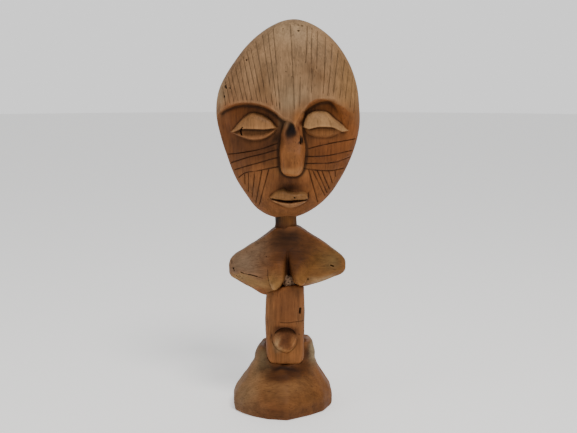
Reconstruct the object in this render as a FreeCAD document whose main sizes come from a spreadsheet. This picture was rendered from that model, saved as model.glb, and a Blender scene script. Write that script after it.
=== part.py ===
import FreeCAD, Part
import math
import os
import Sketcher

# Carved standing figure with an egg-shaped head, joined from carved blocks of wood.
# Frame: millimetres, +Z up, the face looks along -Y, the origin is on the floor under the column's axis.
# Each block is modelled in a frame of its own and stacked by its Placement.

SIZES = [
    # base block
    ("foot_width", 90.4, "base, side to side at the floor"),
    ("foot_depth", 95.0, "base, front corner to back corner"),
    ("foot_band", 14.0, "height of the upright band round the foot"),
    ("bell_height", 63.0, "floor to the top of the base behind the column"),
    ("bell_lip", 1.6, "thickness of the base's upper edge round the column"),
    ("ledge_height", 44.0, "floor to the ledge that the column stands on"),
    # column
    ("torso_width", 35.6, "column, widest, side to side"),
    ("torso_depth", 33.0, "column, widest, front to back"),
    ("torso_length", 62.0, "ledge to the seat of the shoulder block"),
    ("torso_round", 9.0, "radius of the column's long corners"),
    ("foot_round", 3.5, "radius of the column's lower edge"),
    ("navel_width", 21.0, "navel knob, side to side"),
    ("navel_height", 20.0, "navel knob, top to bottom"),
    ("navel_stand", 5.5, "how far the knob stands proud of the column"),
    ("navel_up", 19.0, "ledge to the middle of the navel knob"),
    # shoulder block
    ("span_left", 51.1, "column axis to the tip of the arm on -X"),
    ("span_right", 55.0, "column axis to the tip of the arm on +X"),
    ("shoulder_rise", 59.0, "seat of the shoulder block to the foot of the neck"),
    ("arm_low", 16.5, "seat to the underside of an arm's tip"),
    ("arm_tip", 15.0, "height of the flat on an arm's tip"),
    ("arm_depth", 18.0, "front to back at an arm's tip"),
    ("chest_front", 23.0, "column axis to the chest's front"),
    ("chest_back", 18.0, "column axis to the shoulder block's back"),
    ("breast_reach", 30.0, "column axis to the front of the breasts"),
    ("breast_width", 20.0, "one breast, side to side"),
    ("breast_gap", 22.0, "middle to middle of the breasts"),
    ("breast_height", 37.0, "one breast, top to bottom"),
    ("breast_up", 25.0, "seat to the middle of the breast on -X"),
    ("breast_step", 3.5, "how much higher the breast on +X hangs"),
    ("breast_shift", 1.5, "column axis to the middle of the cleft"),
    ("cleft_width", 9.0, "cleft between the breasts, at its foot"),
    ("cleft_height", 40.0, "cleft, seat to its upper end"),
    # neck
    ("neck_width", 19.4, "diameter of the neck peg"),
    ("neck_show", 8.5, "length of neck that shows under the chin"),
    ("neck_in_head", 22.0, "depth of the neck's socket in the head"),
    ("neck_in_shoulder", 18.0, "depth of the neck's socket in the shoulder block"),
    # head
    ("head_width", 127.4, "egg, side to side"),
    ("head_height", 177.4, "egg, chin to crown"),
    ("head_widest", 97.0, "chin to the widest level"),
    ("head_front", 29.0, "rim plane to the front of the forehead"),
    ("head_back", 22.0, "rim plane to the back of the head"),
    ("head_tilt", 2.2, "lean of the head to +X, degrees"),
    ("nose_width", 21.0, "nose, side to side at its tip"),
    ("nose_length", 55.0, "brow to the tip of the nose"),
    ("nose_up", 39.5, "chin to the tip of the nose"),
    ("nose_reach", 36.0, "rim plane to the front of the nose"),
    ("face_sink", 10.0, "how deep the cheeks are carved below the brow"),
    ("eye_gap", 60.0, "middle to middle of the eyes"),
    ("eye_up", 78.0, "chin to the slit of the eyes"),
    ("eye_width", 44.0, "one eye, side to side"),
    ("eye_stand", 5.5, "how far an eyelid stands proud of the sunk face"),
    ("mouth_up", 18.5, "chin to the slit of the mouth"),
    ("mouth_width", 34.0, "mouth, side to side"),
    ("lip_height", 7.0, "one lip, top to bottom"),
    ("lip_stand", 6.0, "half the thickness of a lip, front to back"),
    # hidden dowels
    ("dowel_width", 10.0, "diameter of the hidden dowels"),
    ("dowel_length", 40.0, "length of the hidden dowels"),
    ("glue_gap", 0.1, "room for glue round a peg or dowel, on the radius"),
]

doc = FreeCAD.newDocument("carved_figure")
sheet = doc.addObject("Spreadsheet::Sheet", "Sizes")
for row, (alias, value, meaning) in enumerate(SIZES, start=1):
    sheet.set(f"A{row}", meaning)
    sheet.set(f"B{row}", str(value))
    sheet.setAlias(f"B{row}", alias)
doc.recompute()


def number(expression):
    """The value that an expression on the sheet has now."""
    return float(sheet.evalExpression(str(expression)))


def s(expression):
    """An expression with each size's alias read from the sheet."""
    words = str(expression)
    for alias in sorted((a for a, _, _ in SIZES), key=len, reverse=True):
        words = words.replace(alias, f"@{alias}@")
    while "@@" in words:
        words = words.replace("@@", "@")
    return "".join(("Sizes." + w) if i % 2 else w for i, w in enumerate(words.split("@")))


def body_named(label):
    made = doc.addObject("PartDesign::Body", label)
    made.Label = label
    return made


def bind(thing, prop, expression):
    thing.setExpression(prop, s(expression))


def place(body, z, lean="0"):
    """Stands a body on the stack at height z, leaned about Y."""
    turned = FreeCAD.Rotation(FreeCAD.Vector(0, 1, 0), 1.0)
    body.Placement = FreeCAD.Placement(FreeCAD.Vector(), turned)
    bind(body, "Placement.Base.z", z)
    bind(body, "Placement.Rotation.Angle", lean)


def sketch_on(body, name, role, away="0"):
    """A sketch on one of the body's origin planes, moved along that plane's normal."""
    made = body.newObject("Sketcher::SketchObject", name)
    plane = next(f for f in body.Origin.OriginFeatures if f.Role == role)
    made.AttachmentSupport = (plane, [""])
    made.MapMode = "FlatFace"
    made.AttachmentOffset = FreeCAD.Placement(FreeCAD.Vector(0, 0, number(s(away))), FreeCAD.Rotation())
    bind(made, "AttachmentOffset.Base.z", away)
    return made


def pin(sketch, edge, end, x, y):
    """Fixes an edge's end at x, y from the sketch's origin, each an expression on the sheet."""
    for kind, expression in (("DistanceX", x), ("DistanceY", y)):
        index = sketch.addConstraint(Sketcher.Constraint(kind, -1, 1, edge, end, number(s(expression))))
        bind(sketch, f"Constraints[{index}]", expression)


def polygon(body, name, role, away, corners):
    """A closed sketch of straight edges through corners, each a pair of expressions."""
    made = sketch_on(body, name, role, away)
    spots = [FreeCAD.Vector(number(s(x)), number(s(y)), 0) for x, y in corners]
    for i, spot in enumerate(spots):
        made.addGeometry(Part.LineSegment(spot, spots[(i + 1) % len(spots)]), False)
    for i, (x, y) in enumerate(corners):
        made.addConstraint(Sketcher.Constraint("Coincident", i - 1 if i else len(spots) - 1, 2, i, 1))
        pin(made, i, 1, x, y)
    return made


def arcs(body, name, role, away, knots, share=1.0, centre="0"):
    """A closed sketch of arcs. knots is a list of (x, y, is_end): ends join the arcs, the others lie on them.
    share shrinks the outline about (0, centre)."""
    made = sketch_on(body, name, role, away)
    scaled = [(f"({x}) * {share}", f"({centre}) + (({y}) - ({centre})) * {share}") for x, y, _ in knots]
    spots = [FreeCAD.Vector(number(s(x)), number(s(y)), 0) for x, y in scaled]
    ends = [i for i, knot in enumerate(knots) if knot[2]]
    for i in ends:
        arc = Part.Arc(spots[i], spots[(i + 1) % len(spots)], spots[(i + 2) % len(spots)])
        made.addGeometry(arc, False)
    for edge, i in enumerate(ends):
        arc = made.Geometry[edge]
        start = 1 if (arc.StartPoint - spots[i]).Length < (arc.EndPoint - spots[i]).Length else 2
        pin(made, edge, start, *scaled[i])
        pin(made, edge, 3 - start, *scaled[ends[(edge + 1) % len(ends)]])
        on_arc = made.addGeometry(Part.Point(spots[(i + 1) % len(spots)]), True)
        pin(made, on_arc, 1, *scaled[(i + 1) % len(spots)])
        made.addConstraint(Sketcher.Constraint("PointOnObject", on_arc, 1, edge))
    return made


def rounded_box(body, name, away, width, depth, corner):
    """A rectangle round the Z axis with four corner arcs, on the XY plane."""
    made = sketch_on(body, name, "XY_Plane", away)
    w, d, r = number(s(width)) / 2, number(s(depth)) / 2, number(s(corner))
    k = r * (1 - math.sqrt(0.5))
    vec = FreeCAD.Vector
    signs = [(1, -1), (1, 1), (-1, 1), (-1, -1)]
    runs = []
    for (sx, sy), order in zip(signs, (0, 1, 0, 1)):
        near, far = vec(sx * (w - r), sy * d, 0), vec(sx * w, sy * (d - r), 0)
        first, last = (near, far) if order == 0 else (far, near)
        runs.append((first, vec(sx * (w - k), sy * (d - k), 0), last))
    for i, (first, middle, last) in enumerate(runs):
        made.addGeometry(Part.Arc(first, middle, last), False)
        made.addGeometry(Part.LineSegment(last, runs[(i + 1) % 4][0]), False)
    for i, (first, middle, last) in enumerate(runs):
        arc = made.Geometry[2 * i]
        start = 1 if (arc.StartPoint - first).Length < (arc.EndPoint - first).Length else 2
        made.addConstraint(Sketcher.Constraint("Tangent", 2 * i, 3 - start, 2 * i + 1, 1))
        after = made.Geometry[(2 * i + 2) % 8]
        goes_to = runs[(i + 1) % 4][0]
        enter = 1 if (after.StartPoint - goes_to).Length < (after.EndPoint - goes_to).Length else 2
        made.addConstraint(Sketcher.Constraint("Tangent", 2 * i + 1, 2, (2 * i + 2) % 8, enter))
    for edge, kind, expression in (
        (1, "DistanceX", f"({width}) / 2"),
        (3, "DistanceY", f"({depth}) / 2"),
        (5, "DistanceX", f"-({width}) / 2"),
        (7, "DistanceY", f"-({depth}) / 2"),
    ):
        index = made.addConstraint(Sketcher.Constraint(kind, -1, 1, edge, 1, number(s(expression))))
        bind(made, f"Constraints[{index}]", expression)
    for i in range(4):
        index = made.addConstraint(Sketcher.Constraint("Radius", 2 * i, r))
        bind(made, f"Constraints[{index}]", corner)
    return made


def loft(body, name, sections, ruled=False):
    made = body.newObject("PartDesign::AdditiveLoft", name)
    made.Profile = sections[0]
    made.Sections = sections[1:]
    made.Ruled = ruled
    body.Tip = made
    doc.recompute()
    return made


def ellipsoid(body, name, radii, centre, cut=False):
    """An ellipsoid with its radii along X, Y and Z and its centre, all expressions."""
    kind = "Subtractive" if cut else "Additive"
    made = body.newObject(f"PartDesign::{kind}Ellipsoid", name)
    for prop, expression in zip(("Radius2", "Radius3", "Radius1"), radii):
        bind(made, prop, expression)
    for axis, expression in zip("xyz", centre):
        bind(made, f"Placement.Base.{axis}", expression)
    body.Tip = made
    doc.recompute()
    return made


def socket(body, name, width, foot, depth, lean="0"):
    """A round socket for a peg of that width, from foot up its axis, which leans about Y."""
    made = body.newObject("PartDesign::SubtractiveCylinder", name)
    made.Placement = FreeCAD.Placement(FreeCAD.Vector(), FreeCAD.Rotation(FreeCAD.Vector(0, 1, 0), 1.0))
    bind(made, "Placement.Rotation.Angle", lean)
    bind(made, "Placement.Base.x", f"({foot}) * sin({lean})")
    bind(made, "Placement.Base.z", f"({foot}) * cos({lean})")
    bind(made, "Radius", f"({width}) / 2 + glue_gap")
    bind(made, "Height", depth)
    body.Tip = made
    doc.recompute()
    return made


def pocket(body, name, plan, depth):
    made = body.newObject("PartDesign::Pocket", name)
    made.Profile = plan
    bind(made, "Length", depth)
    body.Tip = made
    doc.recompute()
    return made


def pad(body, name, plan, depth):
    made = body.newObject("PartDesign::Pad", name)
    made.Profile = plan
    bind(made, "Length", depth)
    body.Tip = made
    doc.recompute()
    return made


# Base: a faceted bell, from an uneven eight-cornered foot to a squarer mouth round the column, notched at
# the front for the column's foot. Plans are in shares of a ring's width and depth; a ring is
# (height, width, depth, share of the mouth's plan).
FOOT_PLAN = [(0.028, -0.516), (0.365, -0.295), (0.476, -0.084), (0.455, 0.24),
             (0.04, 0.484), (-0.465, 0.25), (-0.524, -0.03), (-0.497, -0.284)]
MOUTH_PLAN = [(0.03, -0.5), (0.42, -0.46), (0.5, -0.1), (0.5, 0.45),
              (0.04, 0.52), (-0.5, 0.46), (-0.5, -0.05), (-0.42, -0.46)]
BELL_WALL = "(bell_height - foot_band)"
BELL = [
    ("0", "foot_width * 0.975", "foot_depth * 0.975", 0.0),
    ("foot_band", "foot_width", "foot_depth", 0.0),
    (f"foot_band + {BELL_WALL} * 0.43", "foot_width * 0.735", "foot_depth * 0.74", 0.3),
    (f"foot_band + {BELL_WALL} * 0.66", "foot_width * 0.62", "foot_depth * 0.62", 0.6),
    (f"foot_band + {BELL_WALL} * 0.86", "foot_width * 0.52", "foot_depth * 0.53", 0.85),
    ("bell_height", "torso_width + bell_lip * 2", "torso_depth + bell_lip * 4", 1.0),
]


def bell_corners(wide, deep, mouth):
    """The corners of one ring, part way from the foot's plan to the mouth's."""
    mixed = [(fx + (mx - fx) * mouth, fy + (my - fy) * mouth)
             for (fx, fy), (mx, my) in zip(FOOT_PLAN, MOUTH_PLAN)]
    return [(f"({wide}) * {x:.4f}", f"({deep}) * {y:.4f}") for x, y in mixed]


def build_base():
    body = body_named("base")
    rings = [
        polygon(body, f"BellRing{i}", "XY_Plane", up, bell_corners(wide, deep, mouth))
        for i, (up, wide, deep, mouth) in enumerate(BELL)
    ]
    loft(body, "Bell", rings, ruled=True)
    side, back = "(torso_width / 2 + glue_gap)", "(torso_depth / 2 + glue_gap)"
    cut_corner = "torso_round * (2 - sqrt(2))"
    corners = [(f"-{side}", "-foot_depth"), (side, "-foot_depth"),
               (side, f"{back} - {cut_corner}"), (f"{side} - {cut_corner}", back),
               (f"-{side} + {cut_corner}", back), (f"-{side}", f"{back} - {cut_corner}")]
    notch = polygon(body, "NotchPlan", "XY_Plane", "bell_height", corners)
    pocket(body, "Notch", notch, "bell_height - ledge_height")
    socket(body, "FootSocket", "dowel_width", "ledge_height - dowel_length / 2", "dowel_length / 2 + 1")


# Column: rounded oblong sections on a rounded foot, and the navel knob in its scooped hollow.
# A ring is (height, share of the full section, how far it is set in).
FOOT_RINGS = [("0", 0.955, "foot_round * 2"), ("foot_round * 0.3", 0.955, "foot_round * 0.6"),
              ("foot_round", 0.955, "0")]
COLUMN_RINGS = [("foot_round", 0.955, "0"), ("torso_length * 0.55", 1.0, "0"), ("torso_length", 0.972, "0")]
NAVEL_SEAT = "4"


def build_torso():
    body = body_named("torso")
    place(body, z="ledge_height")
    for name, rings, ruled in (("Foot", FOOT_RINGS, True), ("Column", COLUMN_RINGS, False)):
        sections = [
            rounded_box(body, f"{name}Ring{i}", up, f"torso_width * {share} - {inset}",
                        f"torso_depth * {share} - {inset}", f"torso_round * {share} - {inset} / 2")
            for i, (up, share, inset) in enumerate(rings)
        ]
        loft(body, name, sections, ruled)
    front = "-torso_depth / 2"
    ellipsoid(body, "NavelHollow", ("navel_width * 0.62", NAVEL_SEAT, "navel_height * 0.56"),
              ("0", front, "navel_up + navel_height * 0.16"), cut=True)
    ellipsoid(body, "NavelKnob", ("navel_width / 2", f"navel_stand + {NAVEL_SEAT}", "navel_height / 2"),
              ("0", f"{front} + {NAVEL_SEAT}", "navel_up"))
    socket(body, "FootSocket", "dowel_width", "-1", "dowel_length / 2 + 1")
    socket(body, "TopSocket", "dowel_width", "torso_length - dowel_length / 2", "dowel_length / 2 + 1")


# Shoulder block: straight-sided lozenge with blunt arm tips; the breasts hang from the chest.
# A station across it is (X, low, high, front, back, half the width of its top).
def shoulder_stations():
    neck, side = "(neck_width / 2)", "(torso_width / 2 * 0.972)"
    slope = "(shoulder_rise - arm_low - arm_tip)"
    tip = ("arm_low", "arm_low + arm_tip", "arm_depth / 2", "arm_depth / 2", "arm_depth / 4")
    by_neck = ("0", "shoulder_rise", "chest_front", "chest_back", neck)
    by_side = ("0", f"shoulder_rise - {slope} * 0.17", "chest_front", "chest_back", neck)
    return [("-span_left", *tip), (f"-{side}", *by_side), (f"-{neck}", *by_neck),
            (neck, *by_neck), (side, *by_side), ("span_right", *tip)]


def cleft_edge(side, up):
    """X of the cleft's wall on that side, at a height over the seat."""
    return f"breast_shift + {side} * cleft_width / 2 * (1 - ({up}) / cleft_height)"


def build_shoulders():
    body = body_named("shoulders")
    place(body, z="ledge_height + torso_length")
    sections = []
    for i, (x, low, high, front, back, top) in enumerate(shoulder_stations()):
        ridge = f"({low}) + (({high}) - ({low})) * 0.36"
        corners = [(f"-({top})", high), (top, high), (back, ridge), (f"({back}) * 0.8", low),
                   (f"-({front}) * 0.8", low), (f"-({front})", ridge)]
        sections.append(polygon(body, f"Station{i}", "YZ_Plane", x, corners))
    loft(body, "Lozenge", sections, ruled=True)
    for name, side, step in (("BreastLeft", -1, "0"), ("BreastRight", 1, "breast_step")):
        ellipsoid(body, name, ("breast_width / 2", "breast_reach * 0.55", "breast_height / 2"),
                  (f"breast_shift + {side} * breast_gap / 2", "-breast_reach * 0.45", f"breast_up + {step}"))
    corners = [(cleft_edge(-1, "-1"), "-1"), (cleft_edge(1, "-1"), "-1"), ("breast_shift", "cleft_height")]
    plan = polygon(body, "CleftPlan", "XZ_Plane", "breast_reach + 1", corners)
    pocket(body, "Cleft", plan, "breast_reach + 1 - torso_depth / 2")
    socket(body, "NeckSocket", "neck_width", "shoulder_rise - neck_in_shoulder", "neck_in_shoulder + 1")
    socket(body, "DowelSocket", "dowel_width", "-1", "dowel_length / 2 + 1")


def build_filler():
    """The grey lump of filler pressed into the foot of the cleft, set back from the breasts."""
    body = body_named("cleft_filler")
    place(body, z="ledge_height + torso_length")
    top = "cleft_height * 0.45"
    corners = [(cleft_edge(-1, "0"), "0"), (cleft_edge(1, "0"), "0"),
               (cleft_edge(1, top), top), (cleft_edge(-1, top), top)]
    plan = polygon(body, "FillerPlan", "XZ_Plane", "torso_depth / 2", corners)
    pad(body, "Filler", plan, "(breast_reach - torso_depth / 2) * 0.6")


def build_neck():
    body = body_named("neck")
    place(body, z="ledge_height + torso_length + shoulder_rise - neck_in_shoulder")
    length = "neck_in_shoulder + neck_show + neck_in_head"
    half = "neck_width / 2"
    corners = [("0", "0"), (f"{half} - 1", "0"), (half, "1"),
               (half, f"{length} - 1"), (f"{half} - 1", length), ("0", length)]
    profile = polygon(body, "NeckProfile", "XZ_Plane", "0", corners)
    turned = body.newObject("PartDesign::Revolution", "NeckTurned")
    turned.Profile = profile
    turned.ReferenceAxis = (profile, ["V_Axis"])
    turned.Angle = 360
    body.Tip = turned
    doc.recompute()


def build_dowel(label, foot):
    body = body_named(label)
    place(body, z=foot)
    circle = sketch_on(body, label + "Circle", "XY_Plane")
    radius = number(s("dowel_width")) / 2
    circle.addGeometry(Part.Circle(FreeCAD.Vector(), FreeCAD.Vector(0, 0, 1), radius), False)
    circle.addConstraint(Sketcher.Constraint("Coincident", 0, 3, -1, 1))
    index = circle.addConstraint(Sketcher.Constraint("Radius", 0, radius))
    bind(circle, f"Constraints[{index}]", "dowel_width / 2")
    rod = pad(body, label + "Rod", circle, "dowel_length")
    ends = body.newObject("PartDesign::Chamfer", label + "Ends")
    rims = [f"Edge{i + 1}" for i, e in enumerate(rod.Shape.Edges) if isinstance(e.Curve, Part.Circle)]
    ends.Base = (rod, rims)
    ends.Size = 1
    body.Tip = ends
    doc.recompute()


# Head: the egg outline is a ring of arcs, given as shares of the half width and of the height above or
# below the widest level; sections of it at several depths make the domed front and back.
EGG_UP = [(1.0, 0.0, True), (0.94, 0.26, False), (0.79, 0.51, True), (0.585, 0.725, False),
          (0.35, 0.895, True)]
EGG_DOWN = [(0.22, 0.97, True), (0.39, 0.893, False), (0.556, 0.776, True), (0.706, 0.629, False),
            (0.85, 0.425, True), (0.955, 0.2, False)]
DOME_FRONT = [(1.0, 0.40), (0.92, 0.64), (0.70, 0.86), (0.36, 0.975)]
DOME_BACK = [(0.36, 0.965), (0.70, 0.84), (0.92, 0.6), (1.0, 0.36)]


def egg_knots():
    half, up, down = "head_width / 2", "(head_height - head_widest)", "head_widest"
    right = [(f"{half} * {x}", f"head_widest + {up} * {y}", e) for x, y, e in EGG_UP]
    top = [("0", "head_height", False)]
    left = [(f"-{half} * {x}", f"head_widest + {up} * {y}", e) for x, y, e in reversed(EGG_UP)]
    low_left = [(f"-{half} * {x}", f"head_widest - {down} * {y}", e) for x, y, e in reversed(EGG_DOWN)]
    chin = [("0", "0", False)]
    low_right = [(f"{half} * {x}", f"head_widest - {down} * {y}", e) for x, y, e in EGG_DOWN]
    return right + top + left + low_left + chin + low_right


def build_head():
    body = body_named("head")
    place(body, z="ledge_height + torso_length + shoulder_rise + neck_show", lean="head_tilt")
    sections = [(f"head_front * {d}", k) for d, k in DOME_FRONT] + [("0", 1.0)]
    sections += [(f"-head_back * {d}", k) for d, k in DOME_BACK]
    eggs = [arcs(body, f"Egg{i}", "XZ_Plane", away, egg_knots(), k, "head_widest * 0.9")
            for i, (away, k) in enumerate(sections)]
    loft(body, "Egg", eggs)
    sunk = "-(head_front - face_sink)"
    for name, sign in (("Left", -1), ("Right", 1)):
        eye_x = f"{sign} * eye_gap / 2"
        ellipsoid(body, f"Cheek{name}", ("eye_width * 0.62", "face_sink + 1", "nose_length * 0.78"),
                  (eye_x, "-head_front - 1", "eye_up - nose_length * 0.32"), cut=True)
        ellipsoid(body, f"Eye{name}", ("eye_width / 2", "eye_stand", "eye_width * 0.25"),
                  (eye_x, sunk, "eye_up"))
    nose = []
    for i, (up, share, front) in enumerate((("nose_up", 1.0, "-nose_reach"),
                                            ("nose_up + nose_length", 0.8, "-head_front + 1"))):
        side, bevel, root = f"nose_width / 2 * {share}", "nose_width * 0.24", "-head_front * 0.4"
        corners = [(f"-({side})", root), (f"-({side})", f"{front} + {bevel}"), (f"-({side}) * 0.6", front),
                   (f"({side}) * 0.6", front), (side, f"{front} + {bevel}"), (side, root)]
        nose.append(polygon(body, f"Nose{i}", "XY_Plane", up, corners))
    loft(body, "Nose", nose, ruled=True)
    for name, sign, tall in (("LipUpper", 1, 0.74), ("LipLower", -1, 0.63)):
        ellipsoid(body, name, ("mouth_width / 2", "lip_stand", f"lip_height * {tall}"),
                  ("0", f"{sunk} - 1", f"mouth_up + {sign} * lip_height * 0.48"))
    socket(body, "NeckSocket", "neck_width", "-1", "neck_in_head + 1", lean="-head_tilt")


build_base()
build_torso()
build_shoulders()
build_filler()
build_neck()
build_head()
build_dowel("waist_dowel", "ledge_height + torso_length - dowel_length / 2")
build_dowel("foot_dowel", "ledge_height - dowel_length / 2")
doc.recompute()

faults = [o.Name for o in doc.Objects if any(w in o.State for w in ("Invalid", "Error"))]
bodies = [o for o in doc.Objects if o.TypeId == "PartDesign::Body"]
faults += [b.Label for b in bodies if b.Shape.isNull() or not b.Shape.isValid() or len(b.Shape.Solids) != 1]
if faults:
    raise RuntimeError(f"failed objects: {faults}")
os.makedirs("parts", exist_ok=True)
for b in bodies:
    b.Shape.exportStep(f"parts/{b.Label}.step")
    box = b.Shape.optimalBoundingBox()
    print(f"{b.Label:14s} volume {b.Shape.Volume:9.0f} x {box.XMin:.1f}..{box.XMax:.1f} "
          f"y {box.YMin:.1f}..{box.YMax:.1f} z {box.ZMin:.1f}..{box.ZMax:.1f}")
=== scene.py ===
import math

import bmesh
import bpy
import numpy as np
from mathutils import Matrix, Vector, kdtree


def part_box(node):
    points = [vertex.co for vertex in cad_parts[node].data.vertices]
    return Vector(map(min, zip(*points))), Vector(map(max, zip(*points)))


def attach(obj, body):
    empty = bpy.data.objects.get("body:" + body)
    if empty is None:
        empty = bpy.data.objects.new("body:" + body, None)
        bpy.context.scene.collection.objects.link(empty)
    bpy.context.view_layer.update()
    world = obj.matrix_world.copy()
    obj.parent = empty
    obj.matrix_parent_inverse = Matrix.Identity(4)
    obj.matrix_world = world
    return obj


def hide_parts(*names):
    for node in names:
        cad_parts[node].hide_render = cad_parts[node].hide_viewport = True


bl_info = {
    "name": "Carved Figure",
    "version": (1, 0, 0),
    "blender": (4, 5, 0),
    "location": "3D View > Sidebar > Figure",
    "description": "Carves a standing figure round its measured frame and finishes it as aged wood",
    "category": "Object",
}

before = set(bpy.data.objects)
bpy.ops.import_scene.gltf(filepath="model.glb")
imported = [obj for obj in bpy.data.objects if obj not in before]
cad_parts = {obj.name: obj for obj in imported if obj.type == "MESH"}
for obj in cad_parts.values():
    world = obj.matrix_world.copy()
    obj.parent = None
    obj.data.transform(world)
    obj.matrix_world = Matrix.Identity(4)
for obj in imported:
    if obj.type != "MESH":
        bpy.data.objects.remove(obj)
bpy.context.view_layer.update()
MM = 0.001


# ---------------------------------------------------------------- small tools


def srgb(red, green, blue):
    """A colour given as it looks, 0 to 255, as the linear colour that a shader takes."""
    shares = [c / 255 for c in (red, green, blue)]
    return tuple(c / 12.92 if c <= 0.04045 else ((c + 0.055) / 1.055) ** 2.4 for c in shares)


def low_high(node):
    """A node's lowest and highest corners in millimetres."""
    low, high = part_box(node)
    return np.array(low) / MM, np.array(high) / MM


def smooth(start, stop, x):
    """0 up to start, 1 from stop, with a soft S between."""
    t = np.clip((x - start) / (stop - start), 0, 1)
    return t * t * (3 - 2 * t)


def through(knots, x):
    """A smooth curve through (place, value) knots that does not swing past them, level beyond its ends."""
    px, py = (np.array(c, float) for c in zip(*knots))
    slope = np.gradient(py, px)
    steep = 3 * np.abs(np.diff(py) / np.diff(px))
    most = np.minimum(steep[:-1], steep[1:])
    slope[1:-1] = np.clip(slope[1:-1], -most, most)
    slope[0] = slope[-1] = 0 if len(px) > 2 else (py[1] - py[0]) / (px[1] - px[0])
    x = np.clip(x, px[0], px[-1])
    i = np.clip(np.searchsorted(px, x, "right") - 1, 0, len(px) - 2)
    step = px[i + 1] - px[i]
    t = (x - px[i]) / step
    a, b = 2 * t**3 - 3 * t**2 + 1, t**3 - 2 * t**2 + t
    return a * py[i] + b * step * slope[i] + (1 - a) * py[i + 1] + (t**3 - t**2) * step * slope[i + 1]


def inside(start, stop, x, soft):
    """1 between start and stop and 0 outside, with soft edges."""
    return smooth(start - soft / 2, start + soft / 2, x) * smooth(stop + soft / 2, stop - soft / 2, x)


def row_at(table, place):
    """A table's other columns at a place in its first column, each along a smooth curve."""
    places, *columns = zip(*table)
    return [float(through(list(zip(places, column)), place)) for column in columns]


def ripple(points, reach, seed):
    """Smooth unevenness from -1 to 1 over points, with bumps about reach across."""
    waves = 14
    dice = np.random.default_rng(seed)
    ways = dice.normal(size=(waves, points.shape[1]))
    ways /= np.linalg.norm(ways, axis=1)[:, None]
    pitch = 2 * math.pi / (reach * dice.uniform(0.7, 1.6, waves))
    turned = points @ (ways * pitch[:, None]).T + dice.uniform(0, 2 * math.pi, waves)
    return np.sin(turned).sum(axis=1) / math.sqrt(waves) * 0.7


def blurred(field, reach):
    """A grid smoothed by a bell of that reach, in cells."""
    cells = np.arange(-3 * reach, 3 * reach + 1)
    bell = np.exp(-0.5 * (cells / reach) ** 2)
    bell /= bell.sum()
    for axis in (0, 1):
        margin = [(3 * reach, 3 * reach) if a == axis else (0, 0) for a in (0, 1)]
        padded = np.pad(field, margin, mode="edge")
        field = np.apply_along_axis(lambda line: np.convolve(line, bell, "valid"), axis, padded)
    return field


def new_piece(name, points, faces):
    """A mesh object whose points, in millimetres, are in the frame's own place."""
    mesh = bpy.data.meshes.new(name)
    mesh.from_pydata((np.asarray(points) * MM).tolist(), [], faces)
    mesh.update()
    piece = bpy.data.objects.new(name, mesh)
    bpy.context.scene.collection.objects.link(piece)
    return piece


def points_of(piece):
    """The piece's points in millimetres."""
    flat = np.empty(len(piece.data.vertices) * 3)
    piece.data.vertices.foreach_get("co", flat)
    return flat.reshape(-1, 3) / MM


def set_points(piece, points):
    """Moves the piece's points, given in millimetres."""
    piece.data.vertices.foreach_set("co", (points * MM).ravel())
    piece.data.update()


def normals_of(piece):
    """The piece's point normals."""
    flat = np.empty(len(piece.data.vertices) * 3)
    piece.data.vertex_normals.foreach_get("vector", flat)
    return flat.reshape(-1, 3)


def knocks(piece, points, *dents):
    """Uneven shifts of the points along the piece's normals; a dent is (height, reach, seed)."""
    uneven = sum(height * ripple(points, reach, seed) for height, reach, seed in dents)
    return normals_of(piece) * uneven[:, None]


def store(piece, name, values):
    """Keeps a number or a colour per point, for the piece's material."""
    values = np.asarray(values, float)
    if name in piece.data.attributes:
        piece.data.attributes.remove(piece.data.attributes[name])
    if values.ndim == 1:
        piece.data.attributes.new(name, "FLOAT", "POINT").data.foreach_set("value", values)
    else:
        colour = np.concatenate([values, np.ones((len(values), 1))], axis=1)
        piece.data.attributes.new(name, "FLOAT_COLOR", "POINT").data.foreach_set("color", colour.ravel())


def outward(piece):
    """Merges doubled points and turns every face outwards."""
    bm = bmesh.new()
    bm.from_mesh(piece.data)
    bmesh.ops.remove_doubles(bm, verts=bm.verts, dist=1e-7)
    bmesh.ops.recalc_face_normals(bm, faces=bm.faces)
    bm.to_mesh(piece.data)
    bm.free()


def refine(piece, wanted):
    """Splits the faces that have a wanted point, and the edges that they share."""
    bm = bmesh.new()
    bm.from_mesh(piece.data)
    bm.verts.ensure_lookup_table()
    edges = {e for f in bm.faces if any(wanted[v.index] for v in f.verts) for e in f.edges}
    bmesh.ops.subdivide_edges(bm, edges=list(edges), cuts=1, use_grid_fill=True)
    bmesh.ops.triangulate(bm, faces=[f for f in bm.faces if len(f.verts) > 4])
    bm.to_mesh(piece.data)
    bm.free()


def pigment(colour):
    """The pigment that looks like a colour in daylight: a little deeper, and greyed with age."""
    return np.asarray(colour, float) ** 1.06 * (1.0, 1.09, 1.15)


def paint(points, ground, patches):
    """Pigment over points: the ground, with soft patches laid over it in order. A patch is
    (colour, centre, radii, strength) and perhaps how crisp it is; its radii are where it has faded to a
    third. The colours are as seen in daylight."""
    colour = np.tile(np.array(ground, float), (len(points), 1))
    warp = np.stack([ripple(points, 14, 40 + k) for k in range(points.shape[1])], axis=1)
    for tone, centre, radii, strength, *crisp in patches:
        away = (points + warp * 1.6 - np.array(centre, float)) / np.array(radii, float)
        share = strength * np.exp(-np.sum(away**4, axis=1) ** (0.5 * (crisp or [1])[0]))[:, None]
        colour += (np.array(tone, float) - colour) * share
    return pigment(colour)


def finish(piece, node, material):
    """Gives a finished piece its material and ties it to the frame."""
    piece.data.shade_smooth()
    piece.data.materials.clear()
    piece.data.materials.append(material)
    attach(piece, "root")
    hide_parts(node)


# ---------------------------------------------------------------- sizes and colours


def length(name, description, millimetres):
    """A size that a user can change."""
    return bpy.props.FloatProperty(
        name=name, description=description, default=millimetres * MM, unit="LENGTH", precision=4
    )


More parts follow.
